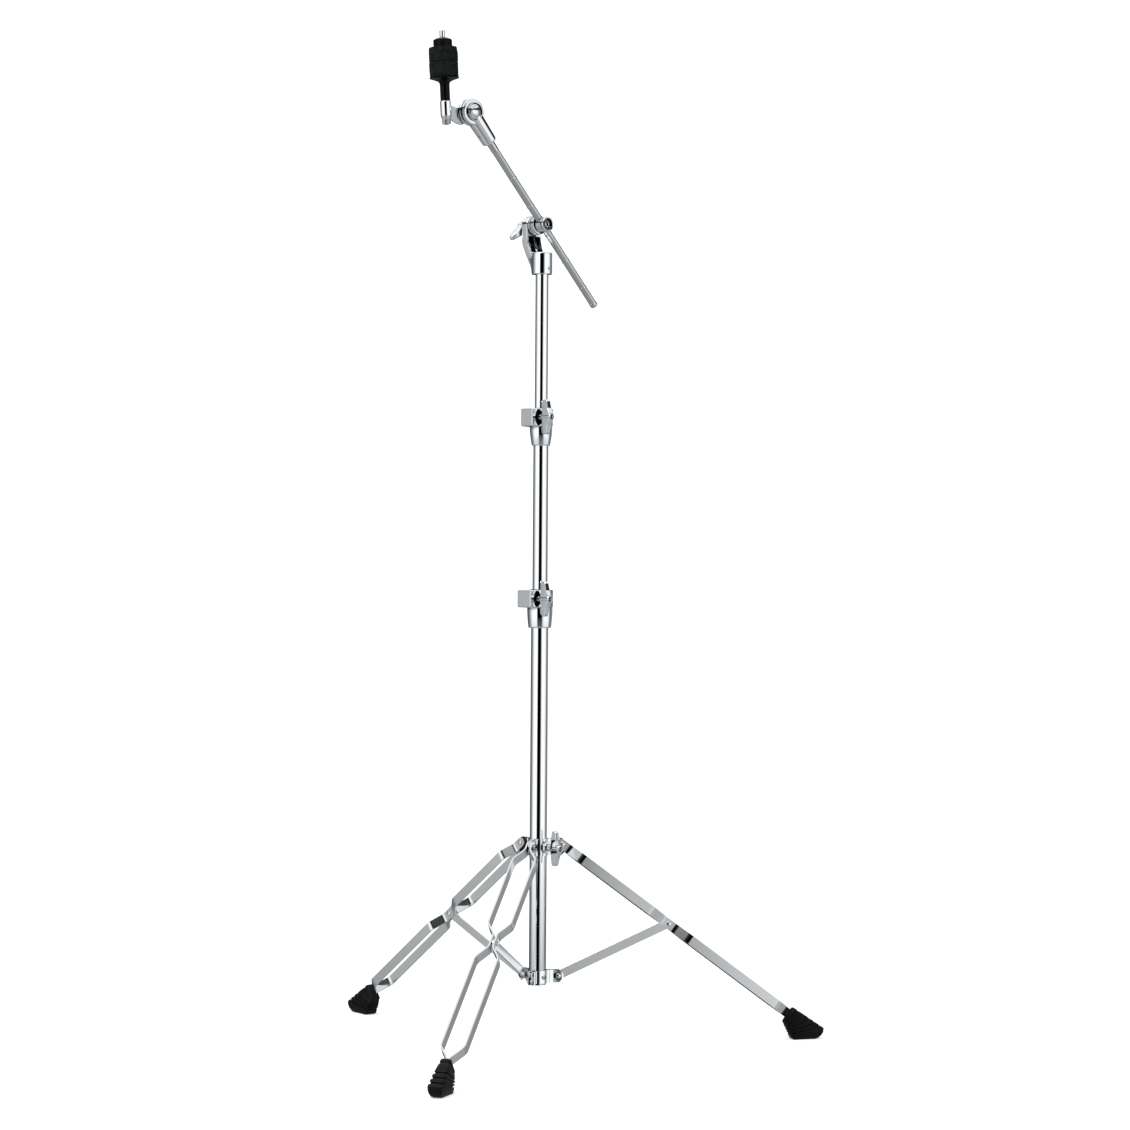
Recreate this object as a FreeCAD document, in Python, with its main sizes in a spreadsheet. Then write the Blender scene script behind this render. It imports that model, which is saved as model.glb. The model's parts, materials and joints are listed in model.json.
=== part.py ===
import FreeCAD, Part
import math
import os

import Sketcher
from FreeCAD import Placement, Rotation, Vector

# Driving dimensions, in millimetres and degrees. Radii end in _rad.
# Heights end in _low or _top and are measured from the floor, along the mast.
SIZES = {
    # mast
    "mast_y": 105.1815,
    "base_tube_rad": 12.7,
    "base_tube_bore_rad": 11.5,
    "base_tube_low": 92.0,
    "base_tube_top": 640.0,
    "middle_tube_rad": 11.1,
    "middle_tube_bore_rad": 9.9,
    "middle_tube_low": 395.0,
    "middle_tube_top": 900.0,
    "upper_tube_rad": 9.525,
    "upper_tube_bore_rad": 8.3,
    "upper_tube_low": 690.0,
    "upper_tube_top": 1165.0,
    "plug_length": 14.0,
    # stamped plates of the hub and of the leg collar
    "plate_thick": 2.0,
    "hub_low": 94.7,
    "hub_height": 19.0,
    "hub_reach": 39.0,
    "hub_corner": 6.5,
    "hub_gap": 3.1,
    "hub_pivot_dist": 30.9,
    "hub_pivot_high": 104.2,
    "collar_low": 283.0,
    "collar_height": 25.0,
    "collar_reach": 43.0,
    "collar_corner": 7.5,
    "collar_gap": 0.2,
    "leg_pivot_dist": 35.4,
    "leg_pivot_high": 298.7,
    # rivets and screws
    "rivet_rad": 2.4,
    "rivet_hole_rad": 2.45,
    "rivet_head_rad": 4.4,
    "rivet_head_thick": 1.6,
    "rivet_crown": 0.6,
    "rivet_clear": 0.1,
    "screw_head_rad": 4.0,
    "screw_head_thick": 2.2,
    "screw_rad": 2.0,
    "pin_rad": 2.2,
    "small_pin_rad": 1.8,
    "pin_sunk": 0.6,
    # gaps: round a shaft, and between faces that turn or slide past each other
    "shaft_clear": 0.05,
    "face_clear": 0.3,
    # legs
    "leg_slope": 36.6,
    "leg_to_brace": 203.2,
    "strap_wide": 14.0,
    "strap_thick": 2.5,
    "strap_bend_shift": 0.75,
    "strap_back": 8.5,
    "strap_collar_half": 2.4,
    "strap_brace_half": 1.6,
    "strap_wide_half": 16.0,
    "strap_bend_1": 14.0,
    "strap_bend_2": 34.0,
    "strap_bend_3": 168.0,
    "strap_bend_4": 190.0,
    "strap_bend_5": 216.0,
    "strap_bend_6": 238.0,
    "strap_bend_7": 409.0,
    "strap_bend_8": 432.0,
    "strap_end": 452.0,
    "strap_round": 6.0,
    # braces
    "brace_rise": 23.632,
    "brace_span": 182.97,
    "brace_wide": 12.5,
    "brace_thick": 2.5,
    "brace_round": 6.25,
    # feet, in the leg's own axes
    "foot_neck": 437.0,
    "foot_neck_top": 12.2,
    "foot_neck_low": 14.4,
    "foot_heel": 458.0,
    "foot_heel_low": 24.8,
    "foot_arch": 469.5,
    "foot_arch_low": 23.2,
    "foot_sole": 478.5,
    "foot_sole_low": 20.6,
    "foot_ball": 487.5,
    "foot_ball_low": 12.6,
    "foot_front": 493.5,
    "foot_front_low": 2.0,
    "foot_toe": 495.0,
    "foot_toe_high": 8.5,
    "foot_tip": 492.5,
    "foot_tip_high": 14.5,
    "foot_neck_half": 7.9,
    "foot_sole_half": 10.8,
    # height clamps; the lug reaches out sideways from the clamp ring
    "clamp_yaw": -30.0,
    "bolt_rad": 3.0,
    "bolt_hole_rad": 3.05,
    "lower_clamp_low": 618.4,
    "lower_clamp_lug_low": 648.7,
    "lower_clamp_top": 674.5,
    "lower_clamp_low_rad": 16.9,
    "lower_clamp_mid_rad": 18.7,
    "lower_clamp_ring_rad": 19.5,
    "lower_lug_half": 14.8,
    "lower_lug_reach": 31.6,
    "lower_bolt_offset": 18.5,
    "lower_bushing_rad": 14.5,
    "lower_wing_start": 16.5,
    "upper_clamp_low": 886.9,
    "upper_clamp_lug_low": 914.9,
    "upper_clamp_top": 941.5,
    "upper_clamp_low_rad": 13.8,
    "upper_clamp_mid_rad": 16.6,
    "upper_clamp_ring_rad": 17.3,
    "upper_lug_half": 12.9,
    "upper_lug_reach": 28.7,
    "upper_bolt_offset": 16.0,
    "upper_bushing_rad": 12.6,
    "upper_wing_start": 14.6,
    "clamp_recess_rad": 9.6,
    "clamp_recess_deep": 4.0,
    "bushing_lip": 0.8,
    "clamp_clear": 0.06,
    "clamp_edge": 1.5,
    "clamp_pin_up": 8.0,
    # wing bolts
    "wing_neck_rad": 6.0,
    "wing_neck": 8.0,
    "wing_hub_rad": 7.2,
    "wing_hub": 19.0,
    "wing_half": 25.7,
    "wing_waist": 5.0,
    "wing_tip_wide": 9.5,
    "wing_base_wide": 15.0,
    "wing_thick": 7.0,
    "wing_blade_in": 1.0,
    "wing_tip_in": 2.5,
    "wing_socket_rad": 3.4,
    "wing_socket_deep": 3.0,
    "collar_wing_start": 22.0,
    "collar_nut_rad": 8.0,
    "boom_wing_half": 31.0,
    "boom_wing_tilt": 56.0,
    "boom_wing_hub_rad": 8.2,
    "boom_wing_bore": 17.0,
    "boom_wing_foot": 3.0,
    "boom_wing_lead": 8.0,
    "boom_wing_tail": 15.0,
    "boom_wing_end": 18.0,
    # boom bracket and what it clamps
    "bracket_low": 1139.4,
    "bracket_top": 1171.6,
    "bracket_rad": 15.0,
    "bracket_pin_up": 8.0,
    "arm_half": 14.0,
    "arm_foot_out": 16.5,
    "arm_foot_in": 11.5,
    "arm_bend": 1166.0,
    "arm_bend_out": 21.5,
    "arm_neck": 1192.0,
    "arm_neck_out": 28.5,
    "arm_neck_in": 16.0,
    "arm_head_out": 31.0,
    "arm_head_in": 17.0,
    "arm_head_rad": 14.5,
    "arm_head_low": 6.0,
    "arm_hollow_half": 10.5,
    "arm_hollow_deep": 5.0,
    "arm_rib_half": 1.5,
    "arm_hollow_edge": 1.5,
    "boom_pivot_high": 1213.0,
    "boom_lean": 43.0,
    "eye_bolt_rad": 3.4,
    "eye_bolt_hole_rad": 3.46,
    "eye_head_rad": 11.0,
    "eye_head_out": 13.5,
    "eye_head_in": 4.6,
    "eye_neck_rad": 7.5,
    "eye_neck_out": 9.5,
    "seat_rad": 13.8,
    "seat_in": 5.0,
    "seat_out": 12.7,
    "disc_rad": 14.2,
    "disc_in": 13.0,
    # boom rod, measured along itself from the bracket's bolt
    "boom_rad": 5.75,
    "boom_hole_rad": 5.82,
    "boom_low": -156.0,
    "boom_cap": 5.0,
    "boom_cap_rad": 4.6,
    "boom_cap_edge": 1.5,
    "boom_top": 186.0,
    # cymbal tilter
    "tilter_dist": 206.0,
    "tilter_disc_rad": 19.0,
    "tilter_head_out": 6.5,
    "tilter_split": 0.8,
    "tilter_gap": 0.3,
    "tilter_base_in": 8.0,
    "tilter_boss_rad": 13.0,
    "tilter_boss": 12.0,
    "tilter_bolt_rad": 3.5,
    "tilter_bolt_hole_rad": 3.56,
    "tilter_bolt_head_rad": 8.0,
    "tilter_bolt_head": 3.4,
    "tilter_bolt_cap": 2.0,
    "socket_near_rad": 12.3,
    "socket_far_rad": 10.9,
    "socket_start": 8.0,
    "socket_end": 54.0,
    "socket_pin_up": 17.0,
    "web_out": 9.0,
    "web_half": 9.0,
    "holder_reach": 43.0,
    "holder_side": 4.5,
    "holder_rad": 7.8,
    "holder_low": 14.0,
    "holder_top": 12.0,
    # cymbal rod and what it carries, measured along the rod from the tilter's height
    "cymbal_lean": 4.0,
    "cymbal_rod_rad": 4.0,
    "cymbal_rod_low": -22.0,
    "cymbal_rod_top": 112.5,
    "cymbal_rod_neck": 101.5,
    "cymbal_rod_neck_rad": 3.6,
    "cymbal_rod_tip": 102.1,
    "rod_nut_rad": 6.5,
    "rod_nut": 7.0,
    "seat_stem_rad": 7.0,
    "seat_stem_top": 39.6,
    "seat_flare": 3.0,
    "seat_flare_high": 1.0,
    "seat_cup_low": 43.6,
    "seat_cup_rad": 21.5,
    "seat_cup_top": 45.6,
    "seat_sleeve_rad": 5.2,
    "seat_sleeve_top": 84.0,
    "felt_rad": 21.5,
    "felt_bore_rad": 5.5,
    "lower_felt_top": 67.0,
    "upper_felt_top": 88.4,
    "cymbal_nut_rad": 13.5,
    "cymbal_nut_top_rad": 10.5,
    "cymbal_nut_low": 88.7,
    "cymbal_nut_mid": 97.5,
    "cymbal_nut_top": 101.7,
}

LEG_ANGLES = (-90.0, 30.0, 150.0)
SECTOR = 120.0
FULL_TURN = 2 * math.pi
# how long a cutter is that passes right through a small piece
CUT_LONG = 120.0
# the block below the floor that cuts the soles flat
GROUND_WIDE = 1200.0
GROUND_DEEP = 60.0
# where an outline's corners start, before its constraints move them
START_RING = 20.0

X_AXIS = Vector(1, 0, 0)
Y_AXIS = Vector(0, 1, 0)
Z_AXIS = Vector(0, 0, 1)

doc = FreeCAD.newDocument("cymbal_boom_stand")
sheet = doc.addObject("Spreadsheet::Sheet", "dims")
for row, (alias, value) in enumerate(SIZES.items(), start=1):
    sheet.set(f"A{row}", alias)
    sheet.set(f"B{row}", str(value))
    sheet.setAlias(f"B{row}", alias)
doc.recompute()

finished = []


def move(x=0.0, y=0.0, z=0.0):
    return Placement(Vector(x, y, z), Rotation())


def turn(axis, degrees):
    return Placement(Vector(), Rotation(axis, degrees))


def along(axis, x=0.0, y=0.0, z=0.0):
    """Stand a primitive's own Z along an axis, with its foot at a point."""
    return Placement(Vector(x, y, z), Rotation(Z_AXIS, axis))


MAST = move(y=SIZES["mast_y"])
CLAMP_SIDE = MAST * turn(Z_AXIS, SIZES["clamp_yaw"])


def primitive(kind, at=Placement(), **sizes):
    """A Part primitive whose sizes follow the sheet."""
    item = doc.addObject("Part::" + kind, kind)
    for size, expression in sizes.items():
        item.setExpression(size, str(expression))
    item.Placement = at
    return item


def rod(radius, length, at=Placement()):
    return primitive("Cylinder", at, Radius=radius, Height=length)


def fuse(*pieces):
    item = doc.addObject("Part::MultiFuse", "Fuse")
    item.Shapes = list(pieces)
    item.Refine = True
    return item


def cut(base, *tools):
    """Take each tool away in turn."""
    item = base
    for tool in tools:
        step = doc.addObject("Part::Cut", "Cut")
        step.Base = item
        step.Tool = tool
        step.Refine = True
        item = step
    return item


def common(first, second):
    item = doc.addObject("Part::MultiCommon", "Common")
    item.Shapes = [first, second]
    item.Refine = True
    return item


def outline(body, role, corners):
    """A closed outline whose corners are held by pairs of expressions."""
    plane = next(item for item in body.Origin.OriginFeatures if item.Role == role)
    sketch = body.newObject("Sketcher::SketchObject", "Sketch")
    sketch.AttachmentSupport = [(plane, "")]
    sketch.MapMode = "FlatFace"
    count = len(corners)
    ring = []
    for index in range(count):
        angle = FULL_TURN * index / count
        ring.append(Vector(START_RING * math.cos(angle), START_RING * math.sin(angle), 0))
    for index in range(count):
        sketch.addGeometry(Part.LineSegment(ring[index], ring[(index + 1) % count]), False)
    for index in range(count):
        sketch.addConstraint(Sketcher.Constraint("Coincident", index, 2, (index + 1) % count, 1))
    for index, (across, up) in enumerate(corners):
        places = (("DistanceX", ring[index].x, across), ("DistanceY", ring[index].y, up))
        for kind, start, expression in places:
            number = sketch.addConstraint(Sketcher.Constraint(kind, -1, 1, index, 1, start))
            sketch.setExpression(f"Constraints[{number}]", str(expression))
    return sketch


def turned(corners):
    """A body turned about Z from (radius, height) corners."""
    body = doc.addObject("PartDesign::Body", "Turned")
    sketch = outline(body, "XZ_Plane", corners)
    revolution = body.newObject("PartDesign::Revolution", "Revolution")
    revolution.Profile = sketch
    revolution.ReferenceAxis = (sketch, ["V_Axis"])
    revolution.Angle = 360
    body.Tip = revolution
    return body


def slab(role, corners, thickness):
    """A body padded evenly to both sides of one of its own planes."""
    body = doc.addObject("PartDesign::Body", "Slab")
    sketch = outline(body, role, corners)
    pad = body.newObject("PartDesign::Pad", "Pad")
    pad.Profile = sketch
    pad.setExpression("Length", thickness)
    pad.SideType = "Symmetric"
    body.Tip = pad
    return body


def tube(outer, bore, low, top):
    """An open tube on the Z axis."""
    return turned([(bore, low), (outer, low), (outer, top), (bore, top)])


def finish(item, label, at=MAST):
    item.Label = label
    item.Placement = at
    finished.append(item)


def riveted(half_expression, at=Placement()):
    """A rivet across Y: a shank with a low round head outside each face."""
    shank = rod("dims.rivet_rad", f"2 * ({half_expression})", along(Y_AXIS))
    shank.setExpression("Placement.Base.y", f"-({half_expression})")
    heads = []
    for side in (1, -1):
        head = primitive(
            "Cone",
            along(Y_AXIS * side),
            Radius1="dims.rivet_head_rad",
            Radius2="dims.rivet_head_rad * dims.rivet_crown",
            Height="dims.rivet_head_thick",
        )
        head.setExpression("Placement.Base.y", f"{side} * ({half_expression})")
        heads.append(head)
    item = fuse(shank, *heads)
    item.Placement = at
    return item


def group(*pieces):
    """Several pieces kept as separate solids that move as one."""
    item = doc.addObject("Part::Compound", "Group")
    item.Links = list(pieces)
    return item


def stamped_plate(label, leg_angle, kind, pivot, screw_rad):
    """One third of a hub: a wrap around the tube and an ear towards each of two legs."""
    height = f"dims.{kind}_height"
    reach = f"dims.{kind}_reach"
    corner = f"dims.{kind}_corner"
    half_gap = SIZES[f"{kind}_gap"] / 2
    thick = SIZES["plate_thick"]
    pivot_dist = SIZES[f"{pivot}_pivot_dist"]
    pivot_high = SIZES[f"{pivot}_pivot_high"] - SIZES[f"{kind}_low"]
    wrap = rod("dims.base_tube_rad + dims.plate_thick", height)
    wrap.Angle = SECTOR
    pieces = [wrap]
    cutters = [rod("dims.base_tube_rad", height)]
    for angle, side in ((0.0, 1), (SECTOR, -1)):
        swing = turn(Z_AXIS, angle)
        middle = side * (half_gap + thick / 2)
        ear = primitive("Box", swing * move(y=middle - thick / 2),
                        Length=reach, Width="dims.plate_thick", Height=height)
        pieces.append(ear)
        slot = primitive("Box", swing * move(y=-half_gap),
                         Length=reach, Width=f"dims.{kind}_gap", Height=height)
        hole = rod("dims.rivet_rad", "2 * dims.plate_thick",
                   swing * along(Y_AXIS, x=pivot_dist, y=middle - thick, z=pivot_high))
        cutters += [slot, hole]
    screw_hole = rod(screw_rad, "dims.base_tube_rad + 2 * dims.plate_thick",
                     turn(Z_AXIS, SECTOR / 2) * along(X_AXIS, z=SIZES[f"{kind}_height"] / 2))
    cutters.append(screw_hole)
    envelope = turned([
        ("0", "0"),
        (f"{reach} - {corner}", "0"),
        (reach, corner),
        (reach, f"{height} - {corner}"),
        (f"{reach} - {corner}", height),
        ("0", height),
    ])
    item = cut(common(fuse(*pieces), envelope), *cutters)
    finish(item, label, MAST * move(z=SIZES[f"{kind}_low"]) * turn(Z_AXIS, leg_angle))


def mast_tubes():
    for name in ("base", "middle", "upper"):
        item = tube(f"dims.{name}_tube_rad", f"dims.{name}_tube_bore_rad",
                    f"dims.{name}_tube_low", f"dims.{name}_tube_top")
        finish(item, f"{name}_tube")
    plug = rod("dims.base_tube_bore_rad", "dims.plug_length")
    finish(plug, "base_tube_plug", MAST * move(z=SIZES["base_tube_low"]))


def brace_hub():
    for number, angle in enumerate(LEG_ANGLES, start=1):
        stamped_plate(f"brace_hub_plate_{number}", angle, "hub", "hub", "dims.screw_rad")
    rivets = []
    screws = []
    for angle in LEG_ANGLES:
        rivet = riveted("dims.hub_gap / 2 + dims.plate_thick")
        rivet.Placement = (turn(Z_AXIS, angle)
                           * move(x=SIZES["hub_pivot_dist"], z=SIZES["hub_pivot_high"]))
        rivets.append(rivet)
        shank = rod("dims.screw_rad", "dims.plate_thick", along(X_AXIS, x=SIZES["base_tube_rad"]))
        head = rod("dims.screw_head_rad", "dims.screw_head_thick",
                   along(X_AXIS, x=SIZES["base_tube_rad"] + SIZES["plate_thick"]))
        screw = fuse(shank, head)
        screw.Placement = (turn(Z_AXIS, angle + SECTOR / 2)
                           * move(z=SIZES["hub_low"] + SIZES["hub_height"] / 2))
        screws.append(screw)
    finish(group(*rivets), "brace_hub_rivets")
    finish(group(*screws), "brace_hub_screws")


def leg_collar():
    for number, angle in enumerate(LEG_ANGLES, start=1):
        stamped_plate(f"leg_collar_plate_{number}", angle, "collar", "leg", "dims.bolt_hole_rad")
    rivets = []
    for angle in LEG_ANGLES:
        rivet = riveted("dims.strap_collar_half + dims.strap_thick + dims.rivet_clear")
        rivet.Placement = (turn(Z_AXIS, angle)
                           * move(x=SIZES["leg_pivot_dist"], z=SIZES["leg_pivot_high"]))
        rivets.append(rivet)
    finish(group(*rivets), "leg_collar_rivets")
    nut_start = SIZES["base_tube_rad"] + SIZES["plate_thick"] + SIZES["face_clear"]
    nut = primitive("Prism", along(X_AXIS, x=nut_start), Circumradius="dims.collar_nut_rad",
                    Height=f"dims.collar_wing_start - {nut_start}")
    bore = rod("dims.bolt_hole_rad", "dims.collar_wing_start", along(X_AXIS))
    finish(cut(nut, bore), "leg_collar_nut", wing_side(SIZES["collar_low"] + SIZES["collar_height"] / 2))


def wing_side(high, yaw=SIZES["clamp_yaw"]):
    """The side that a wing bolt is turned from, with X along the bolt."""
    return MAST * move(z=high) * turn(Z_AXIS, yaw)


def wing_bolt(label, at, shank_start, neck_start, half="dims.wing_half"):
    """A T-shaped wing bolt with its threaded shank along X."""
    hub_start = neck_start + SIZES["wing_neck"]
    blade_start = hub_start + SIZES["wing_blade_in"]
    base_end = f"{blade_start} + dims.wing_base_wide"
    tip_start = f"{blade_start} + dims.wing_tip_in"
    tip_end = f"{tip_start} + dims.wing_tip_wide"
    blades = slab("XZ_Plane", [
        (blade_start, "dims.wing_waist"),
        (tip_start, half),
        (tip_end, half),
        (base_end, "dims.wing_waist"),
        (base_end, "-dims.wing_waist"),
        (tip_end, f"-{half}"),
        (tip_start, f"-{half}"),
        (blade_start, "-dims.wing_waist"),
    ], "dims.wing_thick")
    shank = rod("dims.bolt_rad", neck_start - shank_start, along(X_AXIS, x=shank_start))
    neck = rod("dims.wing_neck_rad", "dims.wing_neck", along(X_AXIS, x=neck_start))
    hub = rod("dims.wing_hub_rad", "dims.wing_hub", along(X_AXIS, x=hub_start))
    socket_end = hub_start + SIZES["wing_hub"]
    socket = rod("dims.wing_socket_rad", "dims.wing_socket_deep",
                 along(X_AXIS * -1, x=socket_end))
    finish(cut(fuse(shank, neck, hub, blades), socket), label, at)


def strap_outline(side):
    """One leg strap seen from above: pinched at the collar, at the brace and at the foot."""
    inner = [
        ("-dims.strap_back", "dims.strap_collar_half", 0),
        ("dims.strap_bend_1", "dims.strap_collar_half", -1),
        ("dims.strap_bend_2", "dims.strap_wide_half", -1),
        ("dims.strap_bend_3", "dims.strap_wide_half", 1),
        ("dims.strap_bend_4", "dims.strap_brace_half", 1),
        ("dims.strap_bend_5", "dims.strap_brace_half", -1),
        ("dims.strap_bend_6", "dims.strap_wide_half", -1),
        ("dims.strap_bend_7", "dims.strap_wide_half", 1),
        ("dims.strap_bend_8", "0", 1),
        ("dims.strap_end", "0", 0),
    ]
    corners = [(along_leg, f"{side} * {across}") for along_leg, across, _ in inner]
    for along_leg, across, shift in reversed(inner):
        corners.append((f"{along_leg} + {shift} * dims.strap_bend_shift",
                        f"{side} * ({across} + dims.strap_thick)"))
    return corners


def leg(number, angle):
    at = (MAST * turn(Z_AXIS, angle)
          * move(x=SIZES["leg_pivot_dist"], z=SIZES["leg_pivot_high"])
          * turn(Y_AXIS, SIZES["leg_slope"]))
    for letter, side in (("a", 1), ("b", -1)):
        strap = slab("XY_Plane", strap_outline(side), "dims.strap_wide")
        doc.recompute()
        round_back_end(strap)
        holes = []
        for place, radius in (("0", "dims.rivet_hole_rad"), ("dims.leg_to_brace", "dims.rivet_rad")):
            hole = rod(radius, "2 * dims.strap_wide", along(Y_AXIS, y=-SIZES["strap_wide"]))
            hole.setExpression("Placement.Base.x", place)
            holes.append(hole)
        finish(cut(strap, *holes), f"leg_{number}_strap_{letter}", at)
    rivet = brace_rivet()
    finish(rivet, f"leg_{number}_rivet", at * rivet.Placement)
    finish(foot(at), f"leg_{number}_foot", at)


def round_back_end(strap):
    """Round the strap's end behind its collar rivet."""
    names = []
    for index, edge in enumerate(strap.Tip.Shape.Edges, start=1):
        middle = edge.CenterOfMass
        across = abs(edge.tangentAt(edge.FirstParameter).y) > 0.99
        if across and middle.x < -SIZES["strap_back"] + 0.01:
            names.append(f"Edge{index}")
    pad = strap.Tip
    fillet = strap.newObject("PartDesign::Fillet", "Fillet")
    fillet.Base = (pad, names)
    fillet.setExpression("Radius", "dims.strap_round")
    strap.Tip = fillet


def brace_rivet():
    """The rivet at the brace, in two halves: each holds one strap and stops short of the brace."""
    halves = []
    for side in (1, -1):
        shank = rod("dims.rivet_rad", "dims.strap_thick", along(Y_AXIS * side))
        shank.setExpression("Placement.Base.y", f"{side} * dims.strap_brace_half")
        head = primitive("Cone", along(Y_AXIS * side), Radius1="dims.rivet_head_rad",
                         Radius2="dims.rivet_head_rad * dims.rivet_crown",
                         Height="dims.rivet_head_thick")
        head.setExpression("Placement.Base.y", f"{side} * (dims.strap_brace_half + dims.strap_thick)")
        halves.append(fuse(shank, head))
    item = group(*halves)
    item.Placement = move(x=SIZES["leg_to_brace"])
    return item


def foot(at):
    """A rubber foot: a fan seen from the side, wider at the sole, cut flat where it stands."""
    side_view = slab("XZ_Plane", [
        ("dims.foot_neck", "dims.foot_neck_top"),
        ("dims.foot_neck", "-dims.foot_neck_low"),
        ("dims.foot_heel", "-dims.foot_heel_low"),
        ("dims.foot_arch", "-dims.foot_arch_low"),
        ("dims.foot_sole", "-dims.foot_sole_low"),
        ("dims.foot_ball", "-dims.foot_ball_low"),
        ("dims.foot_front", "-dims.foot_front_low"),
        ("dims.foot_toe", "dims.foot_toe_high"),
        ("dims.foot_tip", "dims.foot_tip_high"),
    ], "2 * dims.foot_sole_half")
    top_view = slab("XY_Plane", [
        ("dims.foot_neck", "dims.foot_neck_half"),
        ("dims.foot_sole", "dims.foot_sole_half"),
        ("dims.foot_toe", "dims.foot_sole_half"),
        ("dims.foot_toe", "-dims.foot_sole_half"),
        ("dims.foot_sole", "-dims.foot_sole_half"),
        ("dims.foot_neck", "-dims.foot_neck_half"),
    ], "4 * dims.foot_heel_low")
    socket = primitive("Box", Length="dims.strap_end - dims.foot_neck",
                       Width="2 * dims.strap_thick", Height="dims.strap_wide")
    socket.setExpression("Placement.Base.x", "dims.foot_neck")
    socket.setExpression("Placement.Base.y", "-dims.strap_thick")
    socket.setExpression("Placement.Base.z", "-dims.strap_wide / 2")
    ground = primitive("Box", Length=GROUND_WIDE, Width=GROUND_WIDE, Height=GROUND_DEEP)
    ground.Placement = at.inverse() * move(x=-GROUND_WIDE / 2, y=-GROUND_WIDE / 2, z=-GROUND_DEEP)
    return cut(common(side_view, top_view), socket, ground)


def brace(number, angle):
    at = (MAST * turn(Z_AXIS, angle)
          * move(x=SIZES["hub_pivot_dist"], z=SIZES["hub_pivot_high"])
          * turn(Y_AXIS, -SIZES["brace_rise"]))
    bar = primitive("Box", Length="dims.brace_span", Width="dims.brace_thick", Height="dims.brace_wide")
    bar.setExpression("Placement.Base.y", "-dims.brace_thick / 2")
    bar.setExpression("Placement.Base.z", "-dims.brace_wide / 2")
    pieces = [bar]
    holes = []
    for place in ("0", "dims.brace_span"):
        end = rod("dims.brace_round", "dims.brace_thick", along(Y_AXIS))
        end.setExpression("Placement.Base.x", place)
        end.setExpression("Placement.Base.y", "-dims.brace_thick / 2")
        pieces.append(end)
        hole = rod("dims.rivet_hole_rad", "2 * dims.brace_thick", along(Y_AXIS))
        hole.setExpression("Placement.Base.x", place)
        hole.setExpression("Placement.Base.y", "-dims.brace_thick")
        holes.append(hole)
    finish(cut(fuse(*pieces), *holes), f"brace_{number}", at)


def height_clamp(name, carrier):
    """A cast clamp on a tube's top end: a sleeve, a ring and a lug that the wing bolt enters."""
    low = f"dims.{name}_clamp_low"
    lug_low = f"dims.{name}_clamp_lug_low"
    top = f"dims.{name}_clamp_top"
    casting = turned([
        ("0", low),
        (f"dims.{name}_clamp_low_rad", low),
        (f"dims.{name}_clamp_mid_rad", f"({low} + {lug_low}) / 2"),
        (f"dims.{name}_clamp_mid_rad", lug_low),
        (f"dims.{name}_clamp_ring_rad", f"{lug_low} + dims.clamp_edge"),
        (f"dims.{name}_clamp_ring_rad", f"{top} - dims.clamp_edge"),
        (f"dims.{name}_clamp_ring_rad - dims.clamp_edge", top),
        ("0", top),
    ])
    lug = primitive("Box", Length=f"2 * dims.{name}_lug_half", Width=f"dims.{name}_lug_reach",
                    Height=f"{top} - {lug_low}")
    lug.setExpression("Placement.Base.x", f"-dims.{name}_lug_half")
    lug.setExpression("Placement.Base.y", f"-dims.{name}_lug_reach")
    lug.setExpression("Placement.Base.z", lug_low)
    tube_bore = rod(f"dims.{carrier}_tube_rad", f"dims.{carrier}_tube_top - {low}")
    tube_bore.setExpression("Placement.Base.z", low)
    bushing_bore = rod(f"dims.{name}_bushing_rad + dims.clamp_clear", f"{top} - dims.{carrier}_tube_top")
    bushing_bore.setExpression("Placement.Base.z", f"dims.{carrier}_tube_top")
    bolt_high = (SIZES[f"{name}_clamp_lug_low"] + SIZES[f"{name}_clamp_top"]) / 2
    half = SIZES[f"{name}_lug_half"]
    recess = rod("dims.clamp_recess_rad", "2 * dims.clamp_recess_deep",
                 along(X_AXIS, x=half - SIZES["clamp_recess_deep"],
                       y=-SIZES[f"{name}_bolt_offset"], z=bolt_high))
    bolt_hole = rod("dims.bolt_hole_rad", 2 * half,
                    along(X_AXIS, x=-half / 2, y=-SIZES[f"{name}_bolt_offset"], z=bolt_high))
    pin_high = SIZES[f"{name}_clamp_low"] + SIZES["clamp_pin_up"]
    pin_hole = rod("dims.pin_rad", f"2 * dims.{name}_lug_half", along(Y_AXIS, z=pin_high))
    finish(cut(fuse(casting, lug), tube_bore, bushing_bore, recess, bolt_hole, pin_hole),
           f"{name}_clamp_body", CLAMP_SIDE)
    pin = rod("dims.pin_rad", f"dims.{name}_clamp_low_rad - dims.{carrier}_tube_rad",
              along(Y_AXIS, y=SIZES[f"{carrier}_tube_rad"], z=pin_high))
    finish(pin, f"{name}_clamp_pin", CLAMP_SIDE * pin.Placement)


def bushing(name, carrier, sliding):
    """The plastic ring that lets the inner tube slide and turn in a height clamp."""
    bore = f"dims.{sliding}_tube_rad + dims.shaft_clear"
    low = f"dims.{carrier}_tube_top + dims.face_clear"
    top = f"dims.{name}_clamp_top + dims.bushing_lip"
    item = turned([
        (bore, low),
        (f"dims.{name}_bushing_rad", low),
        (f"dims.{name}_bushing_rad", top),
        (bore, top),
    ])
    finish(item, f"{name}_bushing")


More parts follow.
